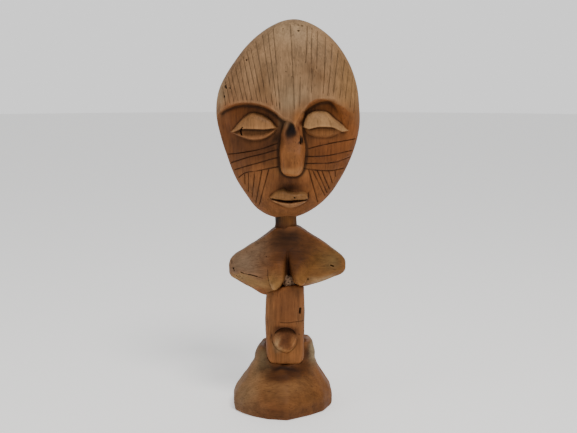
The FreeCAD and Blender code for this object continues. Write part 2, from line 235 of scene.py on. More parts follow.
def tone(name, description, red, green, blue):
    """A colour that a user can change."""
    return bpy.props.FloatVectorProperty(
        name=name, description=description, default=srgb(red, green, blue), subtype="COLOR", size=3,
        min=0, max=1,
    )


class HeadSizes(bpy.types.PropertyGroup):
    forehead: length("Forehead", "Rim plane to the front of the forehead", 29)
    nape: length("Nape", "Rim plane to the back of the head", 22)
    sink: length("Eye sockets", "Depth of the sockets below the forehead", 10)
    lid: length("Eyelids", "How far the upper lids stand out of the sockets", 8)
    nose: length("Nose", "Rim plane to the tip of the nose", 36)
    lips: length("Lips", "How far the lips stand out of the face", 5)
    cheek_cut: length("Cheek cuts", "Width of the cuts in the cheeks", 1.5)
    cheek_depth: length("Cheek cut depth", "Depth of the cuts in the cheeks", 1.1)
    brow_cut: length("Forehead cuts", "Width of the fine cuts up the forehead", 1.15)
    brow_depth: length("Forehead cut depth", "Depth of the fine cuts up the forehead", 0.55)


class BodySizes(bpy.types.PropertyGroup):
    breast: length("Breasts", "How far the breasts stand out of the chest", 8)
    cleft: length("Cleft", "Depth of the cleft between the breasts", 8)
    navel: length("Navel", "How far the navel knob stands out", 6)
    softness: length("Worn edges", "Radius that handling has worn on the blocks' edges", 3)


class WoodTones(bpy.types.PropertyGroup):
    bare: tone("Bare wood", "Dry, greyed wood of the forehead", 140, 108, 78)
    warm: tone("Warm wood", "Reddish brown of the cheeks and column", 124, 76, 42)
    # Laid on as real stains, and also as painted shade in creases, in the cleft, under the chin and round
    # the column's foot.
    stain_and_shade: tone("Dark wood", "Stained wood in the hollows", 66, 35, 15)
    # Fills cuts, holes and pores, and is also blended into hollows as painted shade.
    grime: tone("Grime", "What fills the cuts and holes", 22, 12, 6)


class StageSizes(bpy.types.PropertyGroup):
    floor: bpy.props.FloatProperty(
        name="Floor", description="Radius of the floor", default=6.0, unit="LENGTH"
    )
    distance: bpy.props.FloatProperty(
        name="Camera distance", description="Column axis to the camera", default=0.9, unit="LENGTH"
    )
    height: bpy.props.FloatProperty(
        name="Camera height", description="Floor to the camera", default=0.31, unit="LENGTH"
    )
    pitch: bpy.props.FloatProperty(
        name="Camera pitch", description="How far the camera looks down", default=math.radians(8.53),
        subtype="ANGLE", unit="ROTATION",
    )


# ---------------------------------------------------------------- node helpers


class Net:
    """Short ways to lay nodes out in a tree."""

    def __init__(self, tree):
        self.tree = tree

    def node(self, kind, sockets=None, **settings):
        """A new node, its inputs linked or given values by name or number."""
        made = self.tree.nodes.new(kind)
        made.location = (len(self.tree.nodes) * 190, -(len(self.tree.nodes) % 4) * 170)
        for key, value in settings.items():
            setattr(made, key, value)
        for key, value in (sockets or {}).items():
            self.give(made.inputs[key], value)
        return made

    def give(self, socket, value):
        """Links a socket to another, or sets its value."""
        if isinstance(value, bpy.types.NodeSocket):
            self.tree.links.new(value, socket)
        else:
            socket.default_value = value

    def math(self, operation, a, b):
        return self.node("ShaderNodeMath", {0: a, 1: b}, operation=operation).outputs[0]

    def vector(self, operation, a, b):
        return self.node("ShaderNodeVectorMath", {0: a, 1: b}, operation=operation).outputs[0]

    def spread(self, value, low, high, to_low=0.0, to_high=1.0):
        """value moved from low..high to to_low..to_high with a soft S."""
        made = self.node(
            "ShaderNodeMapRange",
            {"Value": value, "From Min": low, "From Max": high, "To Min": to_low, "To Max": to_high},
            interpolation_type="SMOOTHSTEP",
        )
        return made.outputs["Result"]

    def blend(self, share, a, b, way="MIX"):
        made = self.node("ShaderNodeMix", data_type="RGBA", blend_type=way)
        for index, value in ((0, share), (6, a), (7, b)):
            self.give(made.inputs[index], value)
        return made.outputs[2]

    def kept(self, key, out="Fac"):
        """What a piece keeps under that name for each point."""
        return self.node("ShaderNodeAttribute", attribute_name=key).outputs[out]

    def noise(self, vector, scale, detail, rough):
        made = self.node(
            "ShaderNodeTexNoise", {"Vector": vector, "Scale": scale, "Detail": detail, "Roughness": rough}
        )
        return made.outputs["Fac"]


def socket_list(tree, ins, outs):
    """Gives a tree its named inputs, with their defaults, and its outputs."""
    for name, kind, default in ins:
        made = tree.interface.new_socket(name, in_out="INPUT", socket_type=kind)
        if default is not None:
            made.default_value = default
    for name, kind in outs:
        tree.interface.new_socket(name, in_out="OUTPUT", socket_type=kind)


def keep_result(piece, modifier):
    """Makes what the modifier gives the piece's own mesh and takes the modifier off."""
    graph = bpy.context.evaluated_depsgraph_get()
    mesh = bpy.data.meshes.new_from_object(
        piece.evaluated_get(graph), preserve_all_data_layers=True, depsgraph=graph
    )
    piece.modifiers.remove(modifier)
    old = piece.data
    piece.data = mesh
    bpy.data.meshes.remove(old)
    mesh.name = piece.name


def run_nodes(piece, tree, values):
    """Runs a geometry tree on the piece and keeps the result as its plain mesh."""
    modifier = piece.modifiers.new(tree.name, "NODES")
    modifier.node_group = tree
    for item in tree.interface.items_tree:
        if item.item_type == "SOCKET" and item.in_out == "INPUT" and item.name in values:
            modifier[item.identifier] = values[item.name]
    keep_result(piece, modifier)


# ---------------------------------------------------------------- carving trees


def sink_in(net, given, share, depth):
    """Ends a carving tree: sinks the surface by depth, marks the place by share and sets the wood."""
    normal = net.node("GeometryNodeInputNormal").outputs[0]
    inward = net.node(
        "ShaderNodeVectorMath", {0: normal, "Scale": net.math("MULTIPLY", depth, -1.0)}, operation="SCALE"
    ).outputs[0]
    mark = net.node(
        "GeometryNodeStoreNamedAttribute",
        {"Geometry": given["Geometry"], "Name": given["Mark"], "Value": share},
        data_type="FLOAT", domain="POINT",
    ).outputs[0]
    carved = net.node("GeometryNodeSetPosition", {"Geometry": mark, "Offset": inward}).outputs[0]
    whole = net.node("GeometryNodeRealizeInstances", {"Geometry": carved}).outputs[0]
    done = net.node("GeometryNodeSetMaterial", {"Geometry": whole, "Material": given["Material"]})
    net.node("NodeGroupOutput", {"Geometry": done.outputs[0]})


def knife_tree():
    """Cuts V grooves into a mesh along the edges of another, wandering in width and depth."""
    tree = bpy.data.node_groups.new("Knife cuts", "GeometryNodeTree")
    socket_list(
        tree,
        [("Geometry", "NodeSocketGeometry", None), ("Lines", "NodeSocketObject", None),
         ("Width", "NodeSocketFloat", 1 * MM), ("Depth", "NodeSocketFloat", 1 * MM),
         ("Unevenness", "NodeSocketFloat", 0.6), ("Steepness", "NodeSocketFloat", 0.0),
         ("Seed", "NodeSocketInt", 1), ("Mark", "NodeSocketString", "cut"),
         ("Material", "NodeSocketMaterial", None)],
        [("Geometry", "NodeSocketGeometry")],
    )
    net = Net(tree)
    given = net.node("NodeGroupInput").outputs
    lines = net.node("GeometryNodeObjectInfo", {"Object": given["Lines"]}).outputs["Geometry"]
    near = net.node("GeometryNodeProximity", {"Geometry": lines}, target_element="EDGES").outputs[1]
    place = net.node("GeometryNodeInputPosition").outputs[0]
    wander = net.node(
        "ShaderNodeTexNoise", {"Vector": place, "W": given["Seed"], "Scale": 160.0, "Detail": 2.0},
        noise_dimensions="4D",
    ).outputs["Fac"]
    swing = net.math("MULTIPLY", net.math("SUBTRACT", wander, 0.5), given["Unevenness"])
    share = net.math("ADD", swing, 1.0)
    half = net.math("MULTIPLY", net.math("MULTIPLY", given["Width"], 0.5), share)
    flat = net.math("MULTIPLY", half, given["Steepness"])
    notch = net.spread(near, half, flat)
    sunk = net.math("MULTIPLY", net.math("MULTIPLY", given["Depth"], share), notch)
    sink_in(net, given, notch, sunk)
    return tree


def worm_tree():
    """Sinks round worm holes at the points of another mesh; each point's own bore is its radius."""
    tree = bpy.data.node_groups.new("Worm holes", "GeometryNodeTree")
    socket_list(
        tree,
        [("Geometry", "NodeSocketGeometry", None), ("Holes", "NodeSocketObject", None),
         ("Depth", "NodeSocketFloat", 3 * MM), ("Mark", "NodeSocketString", "hole"),
         ("Material", "NodeSocketMaterial", None)],
        [("Geometry", "NodeSocketGeometry")],
    )
    net = Net(tree)
    given = net.node("NodeGroupInput").outputs
    holes = net.node("GeometryNodeObjectInfo", {"Object": given["Holes"]}).outputs["Geometry"]
    near = net.node("GeometryNodeProximity", {"Geometry": holes}, target_element="POINTS").outputs[1]
    nearest = net.node("GeometryNodeSampleNearest", {"Geometry": holes}).outputs["Index"]
    bore = net.node("GeometryNodeInputNamedAttribute", {"Name": "bore"}, data_type="FLOAT").outputs[0]
    radius = net.node("GeometryNodeSampleIndex", {"Geometry": holes, "Value": bore, "Index": nearest},
                      data_type="FLOAT", domain="POINT").outputs["Value"]
    pit = net.spread(near, radius, net.math("MULTIPLY", radius, 0.7))
    sink_in(net, given, pit, net.math("MULTIPLY", pit, given["Depth"]))
    return tree


def tree_named(name, build):
    """The node tree of that name, built the first time that it is wanted."""
    return bpy.data.node_groups.get(name) or build()


def guide(name, strokes):
    """Strokes, each a run of points in millimetres, as a mesh of loose edges for a carving tree."""
    points = [p for stroke in strokes for p in stroke]
    edges, first = [], 0
    for stroke in strokes:
        edges += [(first + i, first + i + 1) for i in range(len(stroke) - 1)]
        first += len(stroke)
    mesh = bpy.data.meshes.new(name)
    mesh.from_pydata((np.array(points) * MM).tolist(), edges, [])
    made = bpy.data.objects.new(name, mesh)
    bpy.context.scene.collection.objects.link(made)
    return made


def drop(thing):
    """Removes an object and its mesh."""
    mesh = thing.data
    bpy.data.objects.remove(thing)
    bpy.data.meshes.remove(mesh)


def cut_along(piece, strokes, width, depth, mark, seed, material, unevenness, steepness=0.0):
    """Cuts strokes into the piece with the knife; mark is the name under which it keeps them."""
    lines = guide(piece.name + "_" + mark, strokes)
    run_nodes(piece, tree_named("Knife cuts", knife_tree), {
        "Lines": lines, "Width": width, "Depth": depth, "Unevenness": unevenness, "Steepness": steepness,
        "Seed": seed, "Mark": mark, "Material": material,
    })
    drop(lines)


def bore_holes(piece, places, radii, depth, material):
    """Sinks worm holes, their radii in millimetres, at places on the piece."""
    holes = guide(piece.name + "_holes", [[p] for p in places])
    store(holes, "bore", np.array(radii) * MM)
    run_nodes(piece, tree_named("Worm holes", worm_tree), {
        "Holes": holes, "Depth": depth, "Mark": "hole", "Material": material,
    })
    drop(holes)


def evenly(stroke, step):
    """The stroke's points joined by a smooth curve and set about step apart."""
    stroke = np.array(stroke, float)
    run = np.concatenate([[0], np.cumsum(np.linalg.norm(np.diff(stroke, axis=0), axis=1))])
    places = np.linspace(0, run[-1], max(2, int(run[-1] / step) + 1))
    return np.stack([through(list(zip(run, axis)), places) for axis in stroke.T], axis=1)


# ---------------------------------------------------------------- head

HEAD_LEAN = math.radians(2.2)
CUT_STEP = 0.8  # between the points of a knife cut
BROW_GAP, BROW_REACH = 2.5, 6.5  # from the brow to the forehead's cuts, and how far they run on
HEAD_LOW, _ = low_high("head")
NECK_LOW, NECK_HIGH = low_high("neck")
CHIN = np.array([(NECK_LOW[0] + NECK_HIGH[0]) / 2, 0.0, HEAD_LOW[2]])
FACE_MIDDLE = (-1.0, 88.0)

# In the head's own upright frame: across, and up from the chin.
EGG = [
    (3.8, 177), (12, 175.4), (23.2, 170.6), (34.2, 162.8), (50.6, 142.7), (60.4, 118), (63.2, 98.2),
    (62, 72.8), (57.2, 56.2), (48.2, 36.2), (39, 21.6), (27, 10), (13, 2), (1, -0.9), (-14.6, 1.3),
    (-25.6, 7.4), (-35.2, 18.8), (-44.8, 32.8), (-53.4, 52.2), (-60, 70.3), (-65, 93.3), (-62.8, 113.5),
    (-56.6, 127.2), (-48.8, 139.8), (-40.4, 151.4), (-30.4, 161.6), (-18.4, 170.4), (-7, 175.6),
]
RIGHT_SOCKET = ((33.5, 76.0), (28.5, 33.5))
EYES = [
    {
        "lid": [
            (-51.4, 76.6), (-44.4, 84.1), (-38, 91), (-32.7, 94.2), (-26.3, 93.8), (-15.6, 88.6),
            (-9.3, 82.2),
        ],
        "ledge": [(-51.4, 76.2), (-46, 77.4), (-42, 79.4), (-31.7, 80.2), (-21.6, 80.3), (-9.3, 81.8)],
        "rim": [
            (-51.4, 76), (-43, 73.4), (-33, 70.9), (-24.6, 71.4), (-17, 74.6), (-12.8, 78), (-9.3, 81.5),
        ],
        "ball": [(0, 2.6), (0.14, 3.0), (0.34, 2.4), (0.62, 1.2), (1, 0.7)],
    },
    {
        "lid": [
            (12.4, 84.4), (13.6, 89.6), (15.6, 93.8), (19.2, 96.6), (27.5, 98.2), (34.4, 96.8),
            (40.6, 91.6), (46.9, 87.2), (53.4, 82),
        ],
        "ledge": [
            (12.4, 83.6), (18.1, 82.2), (23, 83.6), (28, 84.4), (34.4, 84.5), (39.4, 84), (43.6, 82.2),
            (46.6, 80.8), (53.4, 81.6),
        ],
        "rim": [
            (12.4, 83), (17.4, 78.3), (22, 76.4), (30, 75.5), (38, 76.4), (43.4, 78.8), (46.6, 80.2),
            (53.4, 81.2),
        ],
        "ball": [(0, 1.6), (0.1, 2.2), (0.4, 2.7), (0.8, 2.6), (1, 2.2)],
    },
]
LEFT_BROW = [
    (-72, 82), (-66, 89), (-58, 96), (-47, 101.4), (-36, 103), (-25, 102), (-18, 99.6), (-13.3, 97.1),
    (-7.8, 92.9), (-4.1, 90.3), (0.1, 89.1), (3.2, 87), (8, 84),
]
RIGHT_BROW = [
    (12.4, 94), (15.3, 101.6), (20.6, 107.2), (28, 108.9), (34.4, 107.6), (40.6, 104.8), (49.4, 101),
    (53.4, 97.6),
]
LIP_TOP = [
    (-14.6, 19.8), (-12.6, 22.2), (-9.8, 25), (-6.4, 26.8), (-1.9, 28.2), (0.8, 27), (4.6, 26), (8.3, 25.3),
    (14, 26), (18.4, 25), (19.8, 22),
]
LIP_SLIT = [(-14.6, 19.5), (-12.4, 19.2), (-4.2, 18.2), (2.1, 17.8), (7.1, 18.3), (17.6, 19), (19.8, 19.6)]
LIP_GAPE = [
    (-14.6, 19.2), (-12.4, 18.6), (-7.3, 17.1), (-1, 16.1), (4, 15.9), (11.5, 17.4), (17.6, 18.5),
    (19.8, 19.4),
]
LIP_FOOT = [
    (-14.6, 19), (-11.7, 17), (-4.8, 13.8), (-1, 12.1), (2.7, 11), (8.3, 11.6), (14, 14.4), (17.7, 16.7),
    (19.8, 19),
]

# Cuts up the forehead: (foot across, top across, start and stop above the brow).
BROW_CUTS = [
    (-56, -60, 0, 9), (-52, -58.5, 0, 13), (-48.5, -56.5, 0, 18), (-45, -54, 0, 22), (-40.5, -51, 0, 27),
    (-37, -47.5, 0, 34), (-32.5, -44.5, 0, 38), (-27.5, -41.5, 0, 42), (-24, -38, 0, 46),
    (-19.5, -33, 1, 51), (-14, -26.5, 2, 56), (-10, -21.5, 4, 60), (-7.5, -17, 3, 66), (4.8, -2, 4, 70),
    (9.3, 8.7, 8, 24), (18.8, 18.3, 7, 21), (12.6, 13, 38, 66), (18, 17.3, 32, 64), (22.5, 22.1, 25, 59),
    (29, 29.6, 2, 51), (33.2, 36, 0, 45), (37.8, 42.1, 0, 38), (43.5, 48, 0, 32), (48.6, 52, 0, 30),
    (53.6, 55, 0, 23), (57, 58, 0, 18),
]
CHEEK_CUTS = [
    [(-53, 55.8), (-35.4, 59.7), (-22.6, 63.0), (-9, 68.2)],
    [(-50, 48.4), (-35.3, 54.6), (-20.6, 58.9), (-8.6, 62.9)],
    [(-46.5, 42.4), (-35, 47.1), (-22.2, 51.4), (-8.2, 55.9)],
    [(-42.6, 35.8), (-37.6, 40.1), (-25.6, 43.3), (-7.8, 47.9)],
    [(18, 64.4), (29.1, 67.7), (38.2, 69.9), (60, 74.2)],
    [(16.8, 57.5), (25.8, 57.9), (36.8, 59.2), (57.6, 63.9)],
    [(16.4, 51.4), (26, 51.8), (37.2, 52.3), (43.6, 53.4), (56, 57.7)],
    [(15, 46.9), (26.3, 45.8), (37.5, 45.3), (51, 47.3)], [(-37.5, 38.7), (-36.9, 30)],
    [(-33.9, 40.7), (-33.8, 23.5)], [(-28.3, 42.2), (-30.4, 18)], [(-21.9, 44), (-26.8, 13.5)],
    [(-15.9, 45.4), (-23.4, 12.5)], [(19.4, 46), (29, 16)], [(22.6, 45.8), (35, 22.6)],
    [(27, 45.4), (37, 25)], [(31.2, 45.2), (39, 28.5)], [(37.5, 45), (41.4, 34)],
    [(43.1, 45.2), (44, 39.8)], [(20.4, 25.6), (20.4, 20)],
]
HEAD_HOLES = [
    (-7.9, 167.8, 0.7), (5.3, 171.6, 0.8), (8.6, 171.2, 0.9), (5.7, 166.8, 1.1), (-38.9, 139.8, 1.1),
    (-56.4, 115.6, 1.1), (-52.5, 115, 0.7), (-57.4, 107.4, 1.1), (7.9, 20.9, 1.0), (1.4, 127, 0.4),
    (-4, 131, 0.35),
]
HEAD_SPLITS = [[(11.2, 75.6), (11.4, 69.4)], [(-40.6, 81), (-42, 78), (-40.7, 74)]]


def lean(across, up, out):
    """Places in the head's upright frame, out of the rim plane, as places on the leaning head."""
    across, up, out = np.broadcast_arrays(across, up, out)
    c, s = math.cos(HEAD_LEAN), math.sin(HEAD_LEAN)
    return np.stack([across * c + up * s, -out, up * c - across * s], axis=-1) + CHIN


def share_of(outline, middle, across, up):
    """How far out of an outline's middle places lie, 1 on the outline, and the outline's reach there."""
    turn = 2 * math.pi
    knots = sorted((math.atan2(v - middle[1], u - middle[0]), math.hypot(v - middle[1], u - middle[0]))
                   for u, v in outline)
    ring = [(a - turn, r) for a, r in knots[-3:]] + knots + [(a + turn, r) for a, r in knots[:3]]
    du, dv = across - middle[0], up - middle[1]
    rim = through(ring, np.arctan2(dv, du))
    return np.hypot(du, dv) / rim, rim


def egg_share(across, up):
    """The same for the head's egg."""
    return share_of(EGG, FACE_MIDDLE, across, up)


def brow_height(across):
    """Height of the brow's edge, which is an arc over each socket."""
    if across < FACE_MIDDLE[0]:
        return float(through(LEFT_BROW, across))
    (cu, cv), (ru, rv) = RIGHT_SOCKET
    return cv + rv * math.sqrt(max(0.25, 1 - ((across - cu) / ru) ** 2))


def face_height(u, v, sizes):
    """How far the carved face stands out of the rim plane, in millimetres."""
    forehead, sink, lid_out = sizes.forehead / MM, sizes.sink / MM, sizes.lid / MM
    nose_out, lip_out = sizes.nose / MM, sizes.lips / MM
    share, _ = egg_share(u, v)
    dome = forehead * np.sqrt(np.clip(1 - share**2.7, 0, 1))
    sunk = smooth(64, 50, v)
    (cu, cv), (ru, rv) = RIGHT_SOCKET
    inner = 0.86 - 0.45 * smooth(34, 54, u)
    cove = smooth(1.02, inner, np.hypot((u - cu) / ru, np.maximum(v - cv, 0) / rv))
    sunk = np.maximum(sunk, cove * (1 - 0.35 * smooth(36, 50, u)))
    sunk = np.maximum(sunk, smooth(-0.8, 3.6, through(LEFT_BROW, u) - v) * smooth(7, 3, u))
    depth = through([(0, 0), (14, 2.0), (35, 4.6), (60, 7.6), (80, 10), (112, 10)], v) / 10 * sink
    face = dome - sunk * depth * np.minimum(1, dome / 15)
    face += 1.6 * np.exp(-(((np.abs(u - 2) - 38) / 15) ** 2) - ((v - 52) / 17) ** 2)
    face -= 1.2 * np.exp(-(((np.abs(u - 4.4) - 15) / 5) ** 2)) * inside(46, 76, v, 10)

    for eye in EYES:
        left, right = eye["lid"][0][0], eye["lid"][-1][0]
        lid, ledge, rim = (through(eye[k], u) for k in ("lid", "ledge", "rim"))
        ends = inside(left, right, u, 1.2)
        open_up = np.clip((lid - ledge) / 15, 0, 1) ** 0.45
        rise = np.clip((v - ledge) / np.maximum(lid - ledge, 0.3), 0, 1)
        shell = (1 - rise**2) ** 0.62 * (0.86 + 0.14 * rise) * lid_out * open_up
        drop_in = smooth(ledge - 0.5, ledge + 0.25, v)
        low = np.clip((v - rim) / np.maximum(ledge - rim, 0.3), 0, 1)
        lower = through(eye["ball"], low) * np.clip((ledge - rim) / 5, 0, 1) ** 0.5
        lower = lower * smooth(rim - 1.3, rim + 0.3, v)
        face += ends * (shell * drop_in + lower * (1 - drop_in))

    middle = through([(40, 4.5), (67, 4.3), (78, 3.4), (86, 4.2), (97, 6)], v)
    half = through([(46, 9.6), (67, 10.9), (77, 9.6), (86, 8.2), (97, 8)], v)
    tip, bridge = nose_out, forehead
    front = through([(36, tip - 1), (46, tip - 0.4), (60, tip - 2.6), (76, bridge - 3), (88, bridge - 2.4),
                     (94, bridge - 1.6), (104, bridge - 9), (112, bridge - 40)], v)
    out = (np.abs((u - middle) / half) ** 2.6 + np.clip((51.5 - v) / 10.8, 0, None) ** 2.6) ** (1 / 2.6)
    nose = front - through([(0, 0), (0.45, 0.25), (0.86, 3.0), (1.0, 6.5), (1.12, 17), (1.5, 70)], out)
    face = 0.5 * (face + nose + np.sqrt((face - nose) ** 2 + 0.8))
    face -= 1.4 * np.exp(-(((u - 1.6) / 4) ** 2) - ((v - 82) / 6) ** 2)
    face -= 1.5 * np.exp(-((((u - 10) - (v - 84) * 0.3) / 1.4) ** 2) - ((v - 84.5) / 6) ** 2)

    top, slit, gape, foot = (through(knots, u) for knots in (LIP_TOP, LIP_SLIT, LIP_GAPE, LIP_FOOT))
    upper = through([(-0.02, 0), (0.05, 0.7), (0.3, 1.0), (0.7, 0.85), (0.96, 0.3), (1.08, 0)],
                    (v - slit) / np.maximum(top - slit, 0.5))
    lower = through([(-0.15, 0), (0.05, 0.35), (0.45, 0.85), (0.85, 0.8), (1, 0.3), (1.05, 0)],
                    (v - foot) / np.maximum(gape - foot, 0.5))
    gap = np.clip(np.minimum(slit - v, v - gape) / 1.2, 0, 1)
    face += (lip_out * np.maximum(upper, lower) - 0.7 * gap) * inside(-14.6, 19.8, u, 1.2)
    face -= 2.4 * np.exp(-(((u - 5.4) / 9) ** 2) - ((v - 30) / 3.4) ** 2)
    return face


def quad_ball(across, deep):
    """A unit ball of quads, finer on the two sides that face along Y, as points and faces."""
    flat, band = np.linspace(-1, 1, across + 1), np.linspace(-1, 1, deep + 1)
    points, faces = [], []
    for fixed, sign in ((1, -1), (1, 1), (0, -1), (0, 1), (2, -1), (2, 1)):
        free = [a for a in (0, 1, 2) if a != fixed]
        one, two = (band if a == 1 else flat for a in free)
        grid = np.zeros((len(one), len(two), 3))
        grid[..., fixed] = sign
        grid[..., free[0]], grid[..., free[1]] = np.meshgrid(one, two, indexing="ij")
        first, wide = sum(len(p) for p in points), len(two)
        points.append(grid.reshape(-1, 3))
        for i in range(len(one) - 1):
            for j in range(wide - 1):
                a = first + i * wide + j
                faces.append((a, a + 1, a + wide + 1, a + wide))
    points = np.tan(np.concatenate(points) * math.pi / 4)
    points /= np.linalg.norm(points, axis=1)[:, None]
    kept, index = np.unique(np.round(points, 7), axis=0, return_inverse=True)
    index = index.ravel()
    return kept, [tuple(int(index[k]) for k in face) for face in faces]


def spread_on_face(ball):
    """Where the ball's points lie across and up the egg."""
    out = np.hypot(ball[:, 0], ball[:, 2])
    angle = np.arctan2(ball[:, 2], ball[:, 0])
    far = 1000.0
    _, rim = egg_share(FACE_MIDDLE[0] + far * np.cos(angle), FACE_MIDDLE[1] + far * np.sin(angle))
    return FACE_MIDDLE[0] + rim * out * np.cos(angle), FACE_MIDDLE[1] + rim * out * np.sin(angle)


def near_strokes(u, v, strokes, step=0.3):
    """Each place's distance to the nearest stroke, and the nearest place on it."""
    dots = np.concatenate([evenly(s, step) for s in strokes])
    tree = kdtree.KDTree(len(dots))
    for i, (a, b) in enumerate(dots):
        tree.insert((a, b, 0), i)
    tree.balance()
    found = [tree.find((a, b, 0)) for a, b in zip(u, v)]
    return np.array([f[2] for f in found]), dots[[f[1] for f in found]]


def brow_strokes():
    """The fine cuts that fan up the forehead, kept off the rim."""
    strokes = []
    for foot, top, start, stop in BROW_CUTS:
        stop += BROW_REACH
        base, whole = brow_height(foot) + BROW_GAP, stop + BROW_GAP
        at = np.linspace(start, stop, 5)
        bow = 0.35 * math.sin(3.1 * foot) * np.sin(np.linspace(0, math.pi, 5))
        stroke = evenly(np.stack([foot + (top - foot) * at / whole + bow, base + at], axis=1), 2)
        strokes.append(stroke[egg_share(*stroke.T)[0] < 0.968])
    return strokes


def crease_strokes():
    """The carved edges of eyes, nose and mouth, where the head's mesh has to be fine."""
    edges = [[(u, v) for u, v in eye[k]] for eye in EYES for k in ("lid", "ledge", "rim")]
    nose = [(-6.6, 92), (-7, 68), (-5.4, 46), (-1, 41), (4.4, 40), (10, 41), (14.2, 46), (15.6, 68),
            (12.6, 80), (14, 92)]
    return edges + [nose, LEFT_BROW, LIP_TOP, LIP_SLIT, LIP_GAPE, LIP_FOOT]


HEAD_PATCHES = [
    # (colour, (across, up), radii, strength)
    ("bare", (0, 150), (72, 57), 0.95, 1.8),
    ((142, 104, 64), (56, 125), (16, 34), 0.7),
    ((160, 131, 100), (0, 168), (22, 12), 0.5),
    ((112, 80, 54), (18, 135), (8, 8), 0.7),
    ((112, 78, 50), (27, 127), (7, 6), 0.6),
    ((116, 88, 62), (1.4, 118), (6, 5), 0.5),
    ((118, 84, 54), (-20, 112), (8, 7), 0.5),
    ((116, 80, 50), (-24, 123), (5, 12), 0.45),
    # Painted light along the left rim of the forehead, where the surface turns away.
    ((158, 126, 92), (-62, 108), (6, 16), 0.8),
    # Sockets: browner stained wood with painted shade under the brows, out to the rim.
    ((106, 60, 28), (-32, 95), (23, 6.5), 0.9, 1.4),
    ((106, 62, 34), (-48, 90), (12, 9), 0.9),
    ((104, 60, 34), (-54, 78), (10, 12), 0.8),
    ((112, 62, 28), (30, 98.5), (18, 6.5), 0.9, 1.4),
    ((122, 70, 32), (49, 90), (9, 9), 0.9),
    ((146, 119, 90), (2, 105), (13, 13), 0.75),
    ((132, 82, 42), (9, 93), (6, 8), 0.85),
    # Painted shade under the left eye and beside the nose, on the side turned from the light.
    ((72, 40, 20), (-28, 60), (22, 13), 0.8),
    ((62, 34, 18), (-17, 67), (10, 7), 0.8),
    ((76, 44, 22), (-42, 66), (14, 7), 0.7),
    ((96, 58, 34), (-44, 52), (16, 14), 0.5),
    ((104, 57, 28), (38, 62), (26, 17), 0.75),
    # Painted shade at the outer end of the right socket.
    ((112, 62, 28), (56, 82), (10, 16), 0.6),
    ((128, 80, 44), (4, 60), (12, 20), 0.8),
    ((96, 57, 34), (0, 74), (9, 7), 0.7),
    # Painted highlight on the lower edge of the nose's tip.
    ((150, 104, 62), (4, 45), (12, 4), 0.6),
    # Painted shadow of the nose above the lip.
    ((96, 56, 32), (4, 35), (16, 5), 0.6),
    ((74, 40, 18), (5, 30.4), (13, 4), 0.92),
    ((104, 76, 52), (-3, 86), (6, 5), 0.8),
    ((20, 11, 6), (2.3, 81.4), (3.4, 6.8), 0.98, 2.5),
    # Painted sheen, grey-blue, on the knot.
    ((32, 25, 28), (3, 81.4), (1.4, 3.6), 0.7),
    # Painted shadow down the left side of the nose.
    ((44, 26, 12), (-10.6, 73), (3.4, 7), 0.9),
    # Painted shade in the groove between the nose and the right eye.
    ((74, 30, 10), (11.2, 88), (1.5, 3.2), 0.85),
    ((74, 30, 10), (9, 81.6), (1.4, 3.4), 0.85),
    ("stain_and_shade", (1.2, 53), (2.4, 4), 0.5),
    # Painted shadow under the ledge of the left lid.
    ((74, 44, 24), (-29, 75), (16, 3), 0.5),
    ((16, 8, 4), (11.3, 72.4), (0.9, 3.4), 0.95, 2.5),
    ((120, 78, 46), (-30, 24), (16, 16), 0.6),
    ((122, 74, 38), (32, 30), (16, 16), 0.5),
    ((126, 80, 46), (2, 4), (24, 6), 0.8),
]
# What lies between two curves across the face: (lower curve, upper curve, colour, strength).
FACE_TRIM = [
    # The coves between lids and brows: stained wood with painted shade under the brows.
    (EYES[0]["lid"], LEFT_BROW, (104, 60, 30), 0.7),
    (EYES[1]["lid"], RIGHT_BROW, (116, 66, 30), 0.8),
    (EYES[0]["ledge"], EYES[0]["lid"], (138, 96, 60), 0.95),
    (EYES[0]["rim"], EYES[0]["ledge"], (124, 82, 50), 0.8),
    (EYES[1]["ledge"], EYES[1]["lid"], (146, 107, 70), 0.95),
    (EYES[1]["rim"], EYES[1]["ledge"], (122, 77, 42), 0.85),
    (LIP_SLIT, LIP_TOP, (116, 80, 47), 0.9),
    (LIP_FOOT, LIP_GAPE, (128, 88, 56), 0.9),
    # Painted shade in the mouth's slit.
    (LIP_GAPE, LIP_SLIT, (72, 36, 14), 0.95),
]
BACK_PATCHES = [
    ("bare", (0, 150), (70, 56), 0.8),
    ((128, 90, 56), (-20, 96), (30, 26), 0.5),
    ((100, 62, 36), (24, 62), (26, 24), 0.5),
    ("stain_and_shade", (0, 8), (20, 9), 0.4),
]


def trimmed(colour, u, v):
    """The pigment with the lids and lips laid over it."""
    for low, high, tone, strength in FACE_TRIM:
        share = smooth(-0.5, 0.4, v - through(low, u)) * smooth(-0.5, 0.4, through(high, u) - v)
        share = share * inside(low[0][0], low[-1][0], u, 1.2) * strength
        colour = colour + (pigment(srgb(*tone)) - colour) * share[:, None]
    return colour


def tone_list(patches):
    """Patches with their named colours looked up and the others made linear."""
    woods = bpy.context.scene.figure_woods
    return [(tuple(getattr(woods, c)) if isinstance(c, str) else srgb(*c), *rest) for c, *rest in patches]


def on_face(strokes, sizes):
    """Strokes across and up, laid on the carved face."""
    drawn = [evenly(stroke, CUT_STEP).T for stroke in strokes]
    return [lean(u, v, face_height(u, v, sizes)) for u, v in drawn]


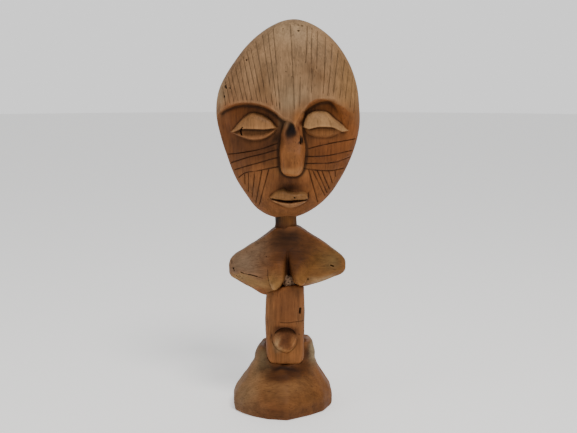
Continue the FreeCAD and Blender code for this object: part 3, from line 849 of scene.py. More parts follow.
def hollow_maps(sizes, u, v, reaches):
    """How far places on the face lie below their surroundings, for each reach in millimetres."""
    cell = 0.75
    across, up = np.arange(-75, 76, cell), np.arange(-10, 188, cell)
    gu, gv = np.meshgrid(across, up, indexing="ij")
    field = face_height(gu.ravel(), gv.ravel(), sizes).reshape(gu.shape)
    iu, iv = (u - across[0]) / cell, (v - up[0]) / cell
    a, b = np.clip(iu.astype(int), 0, len(across) - 2), np.clip(iv.astype(int), 0, len(up) - 2)
    s, t = np.clip(iu - a, 0, 1), np.clip(iv - b, 0, 1)
    maps = []
    for reach in reaches:
        below = blurred(field, int(reach / cell)) - field
        maps.append((below[a, b] * (1 - s) + below[a + 1, b] * s) * (1 - t)
                    + (below[a, b + 1] * (1 - s) + below[a + 1, b + 1] * s) * t)
    return maps


class FIGURE_OT_head(bpy.types.Operator):
    """Carve the egg-shaped head with its face, its knife cuts and its worm holes"""

    bl_idname = "figure.head"
    bl_label = "Head"

    def execute(self, context):
        sizes = context.scene.figure_head
        ball, faces = quad_ball(64, 34)
        piece = new_piece("carved_head", ball / MM, faces)
        outward(piece)
        brow, cheek = brow_strokes(), CHEEK_CUTS
        crease = crease_strokes() + HEAD_SPLITS
        holes = [[(u, v - 0.1), (u, v + 0.1)] for u, v, _ in HEAD_HOLES]
        fine, finest = brow + cheek + crease + holes, holes + HEAD_SPLITS
        for reach, strokes in ((None, None), (1.5, fine), (1.3, finest)):
            ball = points_of(piece) * MM
            ball /= np.linalg.norm(ball, axis=1)[:, None]
            u, v = spread_on_face(ball)
            wanted = ball[:, 1] < -0.12
            if strokes:
                wanted &= near_strokes(u, v, strokes)[0] < reach
            refine(piece, wanted)
        ball = points_of(piece) * MM
        ball /= np.linalg.norm(ball, axis=1)[:, None]
        u, v = spread_on_face(ball)
        front = ball[:, 1] < 0
        away, spot = near_strokes(u, v, brow + cheek, 0.1)
        snapped = front & (away < 0.2) & (egg_share(u, v)[0] < 0.98)
        u[snapped], v[snapped] = spot[snapped].T
        share, _ = egg_share(u, v)
        nape = sizes.nape / MM * np.sqrt(np.clip(1 - share**3, 0, 1))
        out = np.where(front, face_height(u, v, sizes), -nape)
        points = lean(u, v, out)
        uneven = 0.28 * ripple(points, 17, 3) + 0.12 * ripple(points, 7, 4)
        points[:, 1] += uneven * np.where(front, 1, 1.8) * smooth(1.0, 0.9, share)
        set_points(piece, points)

        wood = wood_material("Head wood", (1, 1, 0.05))
        brow, cheek, splits = (on_face(strokes, sizes) for strokes in (brow, cheek, HEAD_SPLITS))
        cut_along(piece, brow, sizes.brow_cut, sizes.brow_depth, "fine_cut", 5, wood, 0.9)
        cut_along(piece, cheek, sizes.cheek_cut, sizes.cheek_depth, "cut", 6, wood, 0.7)
        cut_along(piece, splits, 1.9 * MM, 2.4 * MM, "split", 7, wood, 0.5, 0.4)
        hu, hv, hr = (np.array(c) for c in zip(*HEAD_HOLES))
        bore_holes(piece, lean(hu, hv, face_height(hu, hv, sizes)), hr, 2.2 * MM, wood)

        # How far the face lies in hollows: the wood lays grime and painted shade into them, and pales the
        # ridges with wear and a painted highlight.
        near, broad = hollow_maps(sizes, u, v, (1.5, 6))
        hollow = 0.6 * np.clip(near / 1.2, -1, 1) + 0.4 * np.clip(broad / 5, -1, 1)
        store(piece, "hollow", front * smooth(0.97, 0.9, share) * hollow)
        warm, spots = tuple(context.scene.figure_woods.warm), np.stack([u, v], axis=1)
        face, back = (paint(spots, warm, tone_list(patches)) for patches in (HEAD_PATCHES, BACK_PATCHES))
        face = trimmed(face, u, v)
        store(piece, "tone", back + (face - back) * smooth(0.1, -0.1, ball[:, 1])[:, None])
        finish(piece, "head", wood)
        return {"FINISHED"}


# ---------------------------------------------------------------- lofted blocks


def worn_ring(corners, count, reach):
    """count places round a polygon, its corners worn off over about reach."""
    corners = np.array(corners, float)
    closed = np.concatenate([corners, corners[:1]])
    run = np.concatenate([[0], np.cumsum(np.linalg.norm(np.diff(closed, axis=0), axis=1))])
    at = np.linspace(0, run[-1], count, endpoint=False)
    ring = np.stack([np.interp(at, run, axis) for axis in closed.T], axis=1)
    cycles = np.fft.fftfreq(count, run[-1] / count)
    bell = np.exp(-2 * (math.pi * cycles * reach) ** 2)
    return np.real(np.fft.ifft(np.fft.fft(ring, axis=0) * bell[:, None], axis=0))


def end_scales(places, low, high, radius):
    """How much each place's ring shrinks, in millimetres, to round both ends."""
    short = np.clip(radius - np.minimum(places - low, high - places), 0, radius)
    return radius - np.sqrt(np.maximum(radius**2 - short**2, 0))


def stations(low, high, step, radius):
    """Places from low to high, closer together in the rounded ends."""
    turn = np.linspace(0, math.pi / 2, 7)[:-1]
    cap = radius * (1 - np.cos(turn))
    return np.concatenate([low + cap, np.arange(low + radius, high - radius, step), (high - cap)[::-1]])


def loft(name, rings):
    """A closed piece through rings of points, (rings, points, 3), with a fan over each end."""
    rings = np.asarray(rings)
    many, wide = rings.shape[:2]
    points = np.concatenate([rings.reshape(-1, 3), [rings[0].mean(axis=0), rings[-1].mean(axis=0)]])
    faces = [(i * wide + j, i * wide + (j + 1) % wide, (i + 1) * wide + (j + 1) % wide, (i + 1) * wide + j)
             for i in range(many - 1) for j in range(wide)]
    last, tip = (many - 1) * wide, many * wide
    faces += [(tip, (j + 1) % wide, j) for j in range(wide)]
    faces += [(tip + 1, last + j, last + (j + 1) % wide) for j in range(wide)]
    piece = new_piece(name, points, faces)
    outward(piece)
    return piece


def shrunk(ring, by):
    """A ring drawn in towards its middle by so many millimetres."""
    middle = ring.mean(axis=0)
    away = np.linalg.norm(ring - middle, axis=1)[:, None]
    return middle + (ring - middle) * np.maximum(0.25, 1 - by / away)


def lofted(name, ends, step, rounding, ring_at, axis=2):
    """A closed piece between two ends on an axis, with ring_at(place) for its rings and rounded ends."""
    places = stations(*ends, step, rounding)
    rings = [shrunk(ring_at(place), by) for place, by in zip(places, end_scales(places, *ends, rounding))]
    return loft(name, [np.insert(ring, axis, place, axis=1) for ring, place in zip(rings, places)])


def carve(piece, tool, gap):
    """Takes the room of another piece, with a little air round it, out of this one."""
    cutter = bpy.data.objects.new("cutter", tool.data.copy())
    bpy.context.scene.collection.objects.link(cutter)
    set_points(cutter, points_of(cutter) + normals_of(cutter) * gap)
    modifier = piece.modifiers.new("room", "BOOLEAN")
    modifier.operation, modifier.solver, modifier.object = "DIFFERENCE", "EXACT", cutter
    keep_result(piece, modifier)
    drop(cutter)


# ---------------------------------------------------------------- shoulders

# Each run is (x, value) along the span.
SPAN_TOP = [
    (-51, 134.5), (-49, 137.2), (-39.3, 144.6), (-24.1, 154), (-16.5, 159.3), (-9, 165.1), (-3, 166.4),
    (4, 167.6), (10.7, 166.9), (21.3, 160.7), (32.7, 153.3), (40.3, 148), (51.8, 139.4), (55, 136.4),
]
SPAN_CREST = [
    (-51, 130.4), (-47.8, 129), (-39.8, 126.6), (-30, 124.8), (-17.6, 122), (0, 121), (18, 118), (36, 123),
    (55, 130),
]
SPAN_FOOT = [
    (-51, 122.4), (-48.2, 120.4), (-31.8, 112), (-16.6, 105.8), (-9, 108), (-2, 115), (5, 117.5), (12, 116),
    (17, 114.4), (24, 115.4), (32.8, 117), (44.1, 120.6), (53.3, 124.6), (55, 126),
]
SPAN_DEPTHS = [  # x, then front and back depths of the top, the crest and the foot
    (-51, 4, 4, 12, 8, 7, 4), (-42, 5, 5, 16.5, 11, 8, 8), (-30, 6, 6, 21, 14, 12, 11),
    (-14, 8.5, 7.5, 25, 17, 18, 13), (0, 9.5, 8, 26, 18, 20, 14), (14, 8.5, 7.5, 25, 17, 19, 13),
    (30, 6, 6, 21.5, 14, 14, 11), (45, 5, 5, 16, 11, 10, 8), (55, 4, 4, 12, 8, 8, 4),
]
BREASTS = [
    # outer and inner edges as (z, x) from the tip up, and how far it stands out as (z, share)
    ([(112.6, -9.8), (113.4, -11.3), (116.4, -13), (123.9, -14.9), (132, -16.8), (142, -26)],
     [(112.6, -8.2), (113.2, -6.8), (115.2, -4.8), (120.1, -1.6), (126.4, -0.4), (147, 1.6)],
     [(112.4, 0), (113.0, 0.6), (115, 0.95), (120, 1.0), (128, 0.72), (137, 0.3), (148, 0)]),
    ([(116.8, 14.8), (117.6, 16.8), (121.4, 19.8), (126.4, 21.4), (133, 26), (144, 36)],
     [(116.8, 13.2), (118, 11.1), (119.6, 9.4), (122.6, 7.6), (127.6, 5.5), (147, 3.4)],
     [(116.6, 0), (117.2, 0.5), (119.4, 0.82), (124, 0.85), (131, 0.55), (139, 0.2), (148, 0)]),
]
CLEFT_LEFT = [(110, -5), (115, -3.6), (120, -1.4), (126, 0), (134, 0.8), (148, 1.8)]
CLEFT_RIGHT = [(110, 11), (115, 9.6), (120, 8.4), (126, 5.8), (134, 4.6), (148, 3.4)]
ARM_SPLITS = [
    [(-33, 125.4), (-29, 124.8), (-25, 124)], [(-43.8, 122.8), (-41.6, 121.2)],
    [(-39.6, 126.8), (-37.6, 126.2)], [(-46.8, 130.2), (-45.8, 127.4)], [(-48.6, 136), (-48.4, 133.6)],
    [(41.5, 132.6), (43.8, 131.8)],
]
ARM_CUTS = [[(-40, 126.6), (-36, 126), (-30, 124.9), (-20, 122.6)], [(-15.4, 130), (-15, 123), (-13, 116)]]
ARM_HOLES = [
    (-40.4, 122.4, 0.7), (-38.8, 121, 0.6), (47.6, 137.4, 0.5), (20.8, 121.8, 0.7), (-16.8, 141.4, 0.6),
]
SHOULDER_PATCHES = [
    ((120, 97, 76), (-38, -14, 135), (22, 30, 14), 0.85),
    ((118, 95, 74), (-24, -12, 150), (14, 30, 9), 0.7),
    ((142, 108, 68), (-38, -14, 121), (10, 16, 4), 0.85, 1.5),
    ((138, 102, 62), (-24, -18, 117), (12, 16, 5), 0.85, 1.5),
    ((116, 78, 38), (34, -14, 136), (24, 30, 16), 0.9),
    ((106, 82, 48), (44, -10, 136), (9, 24, 8), 0.7),
    ((146, 114, 78), (33, -14, 120.5), (14, 14, 3.6), 0.85, 1.5),
    # The chest under the head: dark stain with the head's painted shadow over it, darkest at the neck's
    # foot.
    ("stain_and_shade", (4, -20, 146), (23, 24, 13), 0.8),
    ("stain_and_shade", (7, -22, 143), (15, 22, 8), 0.75),
    ((50, 28, 13), (2, -12, 159), (16, 20, 9), 0.95),
    ((112, 66, 34), (-8, -28, 134), (8, 12, 8), 0.6),
    ((130, 92, 50), (-8, -32, 119), (7, 14, 7), 0.9),
    # Painted highlight on the lower left edge of the left breast.
    ((158, 118, 74), (-12, -28, 117), (2, 8, 4.4), 0.5),
    ((122, 82, 42), (14, -30, 123), (8, 12, 7), 0.8),
    # Painted shade in the cleft and on the right breast's inner side.
    ("stain_and_shade", (3, -22, 133), (3, 14, 12), 0.9),
    ("stain_and_shade", (7.6, -26, 130), (5.4, 12, 7), 0.8),
]


def span_front(x, z, plain, sizes):
    """The chest's front over x and z, in millimetres towards -Y, breasts and cleft carved."""
    out = plain.copy()
    for outer, inner, stand in BREASTS:
        edge, side = through(inner, z), through(outer, z)
        across = np.clip((x - edge) / np.where(np.abs(side - edge) > 0.1, side - edge, 0.1), 0, 1)
        crisp = np.sqrt(np.clip(1 - np.abs(2 * across - 1) ** 2.4, 0, 1))
        worn = np.sqrt(np.clip(1 - (1 - across / 0.35).clip(0, 1) ** 2.4, 0, 1)) * smooth(1, 0.3, across)
        bell = crisp + (worn - crisp) * smooth(115, 126, z)
        crown = 24.5 + sizes.breast / MM * through(stand, z)
        within = (z > stand[0][0]) & ((x - edge) * (x - side) < 0)
        out = np.where(within, np.maximum(out, plain + (crown - plain) * bell * smooth(150, 134, z)), out)
    wide = through(CLEFT_RIGHT, z) - through(CLEFT_LEFT, z)
    at = (x - through(CLEFT_LEFT, z)) / np.maximum(wide, 0.2)
    dip = np.clip(1 - (2 * at - 1) ** 2, 0, 1) ** 0.7
    return out - dip * sizes.cleft / MM * smooth(143, 124, z)


class FIGURE_OT_shoulders(bpy.types.Operator):
    """Carve the winged shoulder block with its breasts, cracks and holes"""

    bl_idname = "figure.shoulders"
    bl_label = "Shoulders"

    def execute(self, context):
        sizes = context.scene.figure_body

        def ring_at(x):
            top, crest, foot = (float(through(run, x)) for run in (SPAN_TOP, SPAN_CREST, SPAN_FOOT))
            tf, tb, cf, cb, ff, fb = row_at(SPAN_DEPTHS, x)
            corners = [(-tf, top), (-cf, crest), (-ff, foot), (fb, foot), (cb, crest + 6), (tb, top)]
            return worn_ring(corners, 150, sizes.softness / MM * 0.42)

        piece = lofted("shoulder_block", (-50.6, 55.0), 0.8, 2.6, ring_at, axis=0)
        points = points_of(piece)
        x, y, z = points.T
        chest = (x > -18) & (x < 26) & (z < 152)
        refine(piece, (y < -6) & (chest | (near_strokes(x, z, ARM_SPLITS + ARM_CUTS)[0] < 3)))
        points = points_of(piece)
        x, y, z = points.T
        facing = smooth(-6, -13, y)
        points[:, 1] = y - facing * (span_front(x, z, -y, sizes) + y)
        points += knocks(piece, points, (0.26, 22, 11), (0.12, 8, 12))
        set_points(piece, points)

        wood = wood_material("Shoulder wood", (0.05, 1, 1))
        column = bpy.data.objects.get("torso_column")
        front = front_of(points)
        cut_along(piece, drawn_on(front, ARM_SPLITS), 1.5 * MM, 2.2 * MM, "split", 21, wood, 0.8, 0.3)
        cut_along(piece, drawn_on(front, ARM_CUTS), 0.9 * MM, 0.35 * MM, "cut", 22, wood, 1.5)
        hx, hz, hr = zip(*ARM_HOLES)
        bore_holes(piece, laid_on(front, zip(hx, hz)), hr, 2 * MM, wood)
        if column:
            carve(piece, column, 0.12)
        tint(piece, SHOULDER_PATCHES)
        finish(piece, "shoulders", wood)
        return {"FINISHED"}


def front_of(points):
    """The points of a piece's front half, with a tree that finds them as seen from the front."""
    kept = points[points[:, 1] < -3]
    tree = kdtree.KDTree(len(kept))
    for i, (x, _, z) in enumerate(kept):
        tree.insert((x, 0, z), i)
    tree.balance()
    return tree, kept


def laid_on(front, places):
    """Places across and up, (x, z), at the depth of the nearest point of the front."""
    tree, points = front
    return [(x, points[tree.find((x, 0, z))[1]][1], z) for x, z in places]


def drawn_on(front, strokes):
    """Strokes across and up, laid on the front."""
    return [laid_on(front, evenly(stroke, CUT_STEP)) for stroke in strokes]


def shade_hollows(piece):
    """Keeps how far each point lies in a hollow, from how its neighbours stand over it."""
    points, normals = points_of(piece), normals_of(piece)
    ends = np.empty(len(piece.data.edges) * 2, int)
    piece.data.edges.foreach_get("vertices", ends)
    a, b = ends.reshape(-1, 2).T
    step = points[b] - points[a]
    run = np.maximum(np.linalg.norm(step, axis=1), 1e-4)
    lift = np.concatenate([(step * normals[a]).sum(1) / run, (-step * normals[b]).sum(1) / run])
    many = np.bincount(np.concatenate([a, b]), minlength=len(points))
    hollow = np.bincount(np.concatenate([a, b]), lift, len(points)) / np.maximum(many, 1)
    for _ in range(5):
        total = np.bincount(np.concatenate([a, b]), np.concatenate([hollow[b], hollow[a]]), len(points))
        hollow = 0.4 * hollow + 0.6 * total / np.maximum(many, 1)
    store(piece, "hollow", np.clip(hollow * 6, -1, 1))


def tint(piece, patches, ground=None):
    """Keeps the piece's hollows and its painted tone, over warm wood unless a ground is given."""
    shade_hollows(piece)
    ground = ground or tuple(bpy.context.scene.figure_woods.warm)
    store(piece, "tone", paint(points_of(piece), ground, tone_list(patches)))


# ---------------------------------------------------------------- torso

COLUMN = [  # z, left, right, front, back
    (43, -16.2, 17.2, 21.4, 15.8), (50, -16.9, 17.5, 21.8, 16.2), (64, -17.4, 17.6, 22, 16.5),
    (79, -17.8, 17.8, 22, 16.5), (95, -17.5, 17.7, 22, 16.5), (109, -16.9, 17.4, 21.8, 16.2),
    (118, -16.8, 17.3, 21.6, 16),
]
NAVEL = [
    (-11.3, 67.4), (-10.1, 61.1), (-6.4, 56.6), (-2.1, 54.4), (1.6, 53.5), (5.2, 55.1), (9.5, 59.8),
    (11.2, 64.8), (11.3, 69.1), (9.4, 73.5), (5.2, 76.3), (0.3, 77.3), (-5.2, 75.9), (-9.4, 72.6),
]
TORSO_SPLITS = [
    [(14, 94.4), (13.8, 90.6)], [(-4, 81.8), (3.4, 81.4), (8.3, 82.2), (17, 83.4)],
    [(12.3, 71), (13.6, 70.6)], [(-12, 70.6), (-12.6, 67)], [(-11.4, 64), (-9.6, 60.4)],
]
TORSO_PATCHES = [
    ((122, 82, 50), (-14, -16, 84), (5, 16, 30), 0.7),
    ((122, 84, 54), (15, -16, 84), (5, 16, 30), 0.5),
    ((106, 66, 40), (2, -20, 96), (10, 12, 16), 0.6),
    ((148, 95, 53), (2, -20, 50), (16, 14, 7), 0.8),
    # Painted shade in the navel's scoop.
    ((80, 46, 26), (0.8, -24, 66), (6, 10, 7.6), 0.92),
    # Painted light on the knob's lower-left, right and bottom facets.
    ((150, 116, 80), (-7.6, -26, 63), (2.2, 9, 5), 0.85),
    ((152, 118, 82), (-4.4, -27, 57.6), (2.6, 9, 2.6), 0.8),
    ((146, 98, 58), (8.4, -26, 62.6), (2.4, 9, 6), 0.7),
    ((148, 104, 62), (2, -27, 56), (5, 9, 2), 0.7),
    # Painted shadow under the top wall of the scoop.
    ("stain_and_shade", (0.3, -20, 74.4), (9.6, 10, 3.4), 0.98, 1.5),
    ("stain_and_shade", (-12.4, -22, 68), (1.8, 6, 3), 0.5),
    ("stain_and_shade", (16, -10, 64), (4, 9, 9), 0.35),
]


def navel_height(x, z, sizes):
    """A thumb's scoop that climbs out of the column into a shield-shaped knob."""
    share, rim = share_of(NAVEL, (0.3, 65.2), x, z)
    within = (1 - share) * rim
    stand = sizes.navel / MM
    ramp = through([(53, stand), (58, stand), (66, stand * 0.45), (72.4, -2.6), (77, -4)], z)
    ramp = ramp - 2.4 * np.exp(-(((x - 1) / 4.6) ** 2) - ((z - 66) / 6.5) ** 2)
    return np.where(ramp < 0, ramp * smooth(0, 1.2, within), np.minimum(ramp, np.maximum(within, 0) * 1.5))


class FIGURE_OT_torso(bpy.types.Operator):
    """Carve the column of the body with its navel knob"""

    bl_idname = "figure.torso"
    bl_label = "Torso"

    def execute(self, context):
        sizes = context.scene.figure_body

        def ring_at(z):
            left, right, front, back = row_at(COLUMN, z)
            corners = [(left + 2.5, -front), (right - 2.2, -front), (right, -front + 3.4),
                       (right, back - 4), (right - 4, back), (left + 4, back), (left, back - 4),
                       (left, -front + 4)]
            return worn_ring(corners, 140, 1.5)

        piece = lofted("torso_column", (41.8, 118.0), 0.85, 3.0, ring_at)
        x, y, z = points_of(piece).T
        refine(piece, (y < -10) & (x > -13) & (x < 18) & (z > 52) & (z < 99))
        points = points_of(piece)
        x, y, z = points.T
        bowed = smooth(66, 44, z) * 4.6 * np.abs((x - 1) / 17.2) ** 4.4
        seat = smooth(100, 117, z) * through([(-17, -8.4), (-10, -7), (-1, -4.2), (6, -2.2), (17, -3)], x)
        points[:, 2] += bowed + seat
        points[:, 1] -= smooth(-12, -18, y) * navel_height(x, z, sizes)
        points += knocks(piece, points, (0.3, 20, 31), (0.1, 8, 32))
        set_points(piece, points)
        wood = wood_material("Torso wood", (1, 1, 0.05))
        slit, *scratches = drawn_on(front_of(points), TORSO_SPLITS)
        cut_along(piece, [slit], 2.6 * MM, 2.6 * MM, "split", 33, wood, 0.4, 0.5)
        cut_along(piece, scratches, 0.9 * MM, 0.6 * MM, "cut", 34, wood, 1.2)
        tint(piece, TORSO_PATCHES)
        finish(piece, "torso", wood)
        return {"FINISHED"}


# ---------------------------------------------------------------- base

FOOT_PLAN = [
    (2.2, -48.8), (22.3, -36.2), (34.6, -25), (42, -8), (41, 22.8), (3.6, 46), (-42, 23.8), (-46.2, -2.9),
    (-44.6, -22), (-37.6, -30.6), (-28, -39), (-15, -46),
]
MOUTH_PLAN = [
    (1.1, -18), (10, -16), (18.9, -10), (24.2, 0), (21.5, 21), (1.5, 24), (-19.5, 21), (-22.4, 0),
    (-20.5, -8), (-17, -12), (-12, -15), (-6, -17),
]
BELL = [  # z, scale across, scale deep, share of the mouth's plan
    (0, 1.02, 1.055, 0), (4, 1.035, 1.05, 0), (9, 1.035, 1.04, 0), (14, 1.015, 1.015, 0),
    (21, 0.93, 0.93, 0.02), (35, 0.772, 0.72, 0.2), (44, 0.73, 0.58, 0.48), (52, 0.86, 0.66, 0.8),
    (58, 0.87, 0.84, 0.97), (64, 0.8, 0.82, 1.0),
]
EDGE_WEAR = [(0, 1.4), (20, 2.8), (36, 4.2), (60, 3.0)]  # z, how round the edges are
BASE_PATCHES = [
    ((128, 98, 68), (-38, -20, 14), (14, 40, 16), 0.8),
    ((122, 94, 66), (-33, -10, 28), (9, 40, 14), 0.6),
    ((112, 72, 38), (22, -30, 16), (22, 30, 14), 0.7),
    ((118, 80, 46), (-6, -40, 20), (18, 22, 8), 0.6),
    ((92, 54, 26), (38, -14, 5), (10, 34, 6), 0.5),
    ((92, 58, 34), (0, -44, 4), (44, 26, 6.4), 0.85),
    ((96, 56, 32), (-8, -46, 10), (8, 20, 7), 0.5),
    ((100, 62, 34), (2, -44, 22), (12, 20, 7), 0.6),
    ((142, 99, 60), (-2, -34, 28.5), (25, 22, 6), 0.6),
    # Below the column's foot: a dark stain with the painted shadow of the figure above it.
    ((86, 50, 24), (2.5, -26, 45), (25, 26, 15.4), 0.92, 3),
    ("stain_and_shade", (-7, -30, 33), (9, 14, 3.4), 0.8),
    ("stain_and_shade", (6, -26, 37.6), (7, 14, 4), 0.7),
    # Painted shadow under the column's foot, beside its left corner, and on the right where the column
    # stands proud of the bell.
    ((30, 14, 6), (-2, -24, 40), (16, 12, 1.6), 0.95),
    ("stain_and_shade", (-20, -14, 43.5), (6, 12, 7), 0.7),
    ("stain_and_shade", (21, -6, 51), (7, 18, 8), 0.8),
    ((98, 80, 56), (-21, -6, 46), (6, 22, 12), 0.85),
    ((140, 108, 76), (-27, 0, 40), (4, 30, 10), 0.5),
    ((146, 126, 94), (27, 2, 50), (4, 22, 10), 0.9),
]


class FIGURE_OT_base(bpy.types.Operator):
    """Carve the bell-shaped base, notched for the column"""

    bl_idname = "figure.base"
    bl_label = "Base"

    def execute(self, context):
        foot, mouth = np.array(FOOT_PLAN), np.array(MOUTH_PLAN)

        def ring_at(z):
            wide, deep, share = row_at(BELL, z)
            plan = foot * [wide, deep] * (1 - share) + mouth * share * 1.04
            return worn_ring(plan, 170, float(through(EDGE_WEAR, z)))

        piece = lofted("bell_base", (0.0, 57.8), 0.9, 1.6, ring_at)
        points = points_of(piece)
        points[:, 2] += smooth(52, 62, points[:, 2]) * np.clip(points[:, 0], -18, 18) * 0.18
        uneven = knocks(piece, points, (0.5, 26, 51), (0.15, 9, 52))
        points += uneven * smooth(0.0, 3.0, points[:, 2])[:, None]
        set_points(piece, points)
        column = bpy.data.objects.get("torso_column")
        wood = wood_material("Base wood", (0.05, 1, 1))
        if column:
            cutter = bpy.data.objects.new("notch", column.data.copy())
            reach = points_of(cutter)
            reach[:, 1] -= 40 * smooth(-8, -12, reach[:, 1])
            set_points(cutter, reach)
            carve(piece, cutter, 0.15)
            drop(cutter)
        tint(piece, BASE_PATCHES)
        finish(piece, "base", wood)
        return {"FINISHED"}


# ---------------------------------------------------------------- neck, filler and dowels

NECK_PATCHES = [
    # Painted shade on the neck's left side under the chin.
    ((34, 24, 16), (-8.4, -6, 172), (6, 12, 12), 0.95),
    ("stain_and_shade", (0, -8, 165.6), (12, 8, 3), 0.95),
    ((112, 68, 32), (5, -10, 173), (6, 8, 4), 0.7),
]
FILLER_PATCHES = [("stain_and_shade", (-0.6, -20, 118), (2.2, 6, 5), 0.6), ("stain_and_shade", (7.4, -20, 120), (1.6, 6, 3), 0.7)]


class FIGURE_OT_small_parts(bpy.types.Operator):
    """Turn the neck peg, press the filler into the cleft and give the dowels their wood"""

    bl_idname = "figure.small_parts"
    bl_label = "Neck, Filler and Dowels"

    def execute(self, context):
        woods = context.scene.figure_woods
        angle = np.linspace(0, 2 * math.pi, 96, endpoint=False)
        rings = []
        for z in stations(156.0, 182.0, 0.8, 1.5):
            radius = 9.6 + 0.6 * math.exp(-(((z - 164) / 3.2) ** 2))
            across, deep = 1 + radius * 1.02 * np.cos(angle), radius * 0.96 * np.sin(angle)
            rings.append(np.column_stack([across, deep, np.full(len(angle), z)]))
        neck = loft("neck_peg", rings)
        points = points_of(neck)
        set_points(neck, points + knocks(neck, points, (0.3, 9, 61)))
        tint(neck, NECK_PATCHES, srgb(98, 62, 32))
        finish(neck, "neck", wood_material("Neck wood", (1, 1, 0.05)))

        ball, faces = quad_ball(20, 20)
        filler = new_piece("cleft_putty", ball * [5.0, 3.4, 5.6] + [3.6, -17.8, 119], faces)
        outward(filler)
        points = points_of(filler)
        set_points(filler, points + knocks(filler, points, (0.9, 6, 71), (0.7, 2.4, 72)))
        tint(filler, FILLER_PATCHES, srgb(120, 92, 70))
        finish(filler, "cleft_filler", wood_material("Filler", (1, 1, 1)))

        dowel = wood_material("Dowel wood", (1, 1, 0.06))
        for node in ("waist_dowel", "foot_dowel"):
            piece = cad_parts[node]
            store(piece, "tone", np.tile(woods.bare, (len(piece.data.vertices), 1)))
            piece.data.materials.clear()
            piece.data.materials.append(dowel)
        return {"FINISHED"}


# ---------------------------------------------------------------- wood


def grain_tree():
    """Fibres, broad figure, pores and blotches of wood whose grain runs where Stretch is least."""
    tree = bpy.data.node_groups.new("Wood grain", "ShaderNodeTree")
    socket_list(
        tree,
        [("Place", "NodeSocketVector", None), ("Stretch", "NodeSocketVector", (1, 1, 0.05)),
         ("Seed", "NodeSocketFloat", 0.0)],
        [("Fibre", "NodeSocketFloat"), ("Figure", "NodeSocketFloat"), ("Pore", "NodeSocketFloat"),
         ("Blotch", "NodeSocketFloat")],
    )
    net = Net(tree)
    given = net.node("NodeGroupInput").outputs
    moved = net.vector("ADD", given["Place"], given["Seed"])
    bend = net.node("ShaderNodeTexNoise", {"Vector": moved, "Scale": 28.0, "Detail": 1.0}).outputs["Color"]
    sway = net.node("ShaderNodeVectorMath", {0: bend, "Scale": 0.004}, operation="SCALE").outputs[0]
    drawn = net.vector("MULTIPLY", net.vector("ADD", moved, sway), given["Stretch"])
    fibre = net.noise(drawn, 950.0, 3.0, 0.65)
    figure = net.noise(drawn, 260.0, 2.0, 0.5)
    pore = net.spread(net.noise(drawn, 1100.0, 1.0, 0.4), 0.64, 0.74)
    blotch = net.noise(moved, 55.0, 4.0, 0.6)
    net.node("NodeGroupOutput", {"Fibre": fibre, "Figure": figure, "Pore": pore, "Blotch": blotch})
    return tree


def wear_and_shade_tree():
    """The wood's tone with its grain, darker in cuts and in hollows, where grime and painted shade lie, and
    paler on ridges, where hands have rubbed it and a painted highlight lies.
    """
    tree = bpy.data.node_groups.new("Worn surface", "ShaderNodeTree")
    number, colour = "NodeSocketFloat", "NodeSocketColor"
    socket_list(
        tree,
        [("Tone", colour, (0.2, 0.1, 0.05, 1)), ("Grime", colour, (0.01, 0.006, 0.003, 1)),
         ("Fibre", number, 0.5), ("Figure", number, 0.5), ("Pore", number, 0.0), ("Blotch", number, 0.5),
         ("Hollow", number, 0.0), ("Cut", number, 0.0), ("Fine cut", number, 0.0), ("Hole", number, 0.0)],
        [("Color", colour), ("Roughness", number), ("Height", number)],
    )
    net = Net(tree)
    given = net.node("NodeGroupInput").outputs
    grain = net.math("ADD", net.spread(given["Fibre"], 0.3, 0.7, -0.15, 0.15),
                     net.spread(given["Figure"], 0.32, 0.68, -0.12, 0.12))
    light = net.math("ADD", net.math("ADD", grain, net.spread(given["Blotch"], 0.3, 0.7, -0.16, 0.16)), 1.0)
    # Ridges are paled as handling wear with a painted highlight; hollows are blended towards grime as grime
    # with painted shade.
    rub_and_highlight = net.spread(given["Hollow"], -0.05, -0.8, 0.0, 0.3)
    sunk = net.spread(given["Hollow"], 0.02, 0.8, 0.0, 0.75)
    lit = net.math("ADD", light, rub_and_highlight)
    grey = net.node("ShaderNodeCombineColor", {0: lit, 1: lit, 2: lit}).outputs[0]
    wood = net.blend(1.0, given["Tone"], grey, "MULTIPLY")
    wood = net.blend(net.math("MULTIPLY", given["Pore"], 0.4), wood, given["Grime"])
    wood = net.blend(sunk, wood, given["Grime"])
    wood = net.blend(net.math("MULTIPLY", given["Fine cut"], 0.72), wood, given["Grime"])
    wood = net.blend(net.math("MULTIPLY", given["Cut"], 0.85), wood, given["Grime"])
    wood = net.blend(given["Hole"], wood, given["Grime"])
    rough = net.math("ADD", net.spread(given["Hollow"], -0.6, 0.5, 0.46, 0.72),
                     net.spread(given["Blotch"], 0.3, 0.7, -0.06, 0.08))
    height = net.math("SUBTRACT", net.math("MULTIPLY", given["Fibre"], 0.7), given["Pore"])
    net.node("NodeGroupOutput", {"Color": wood, "Roughness": rough, "Height": height})
    return tree


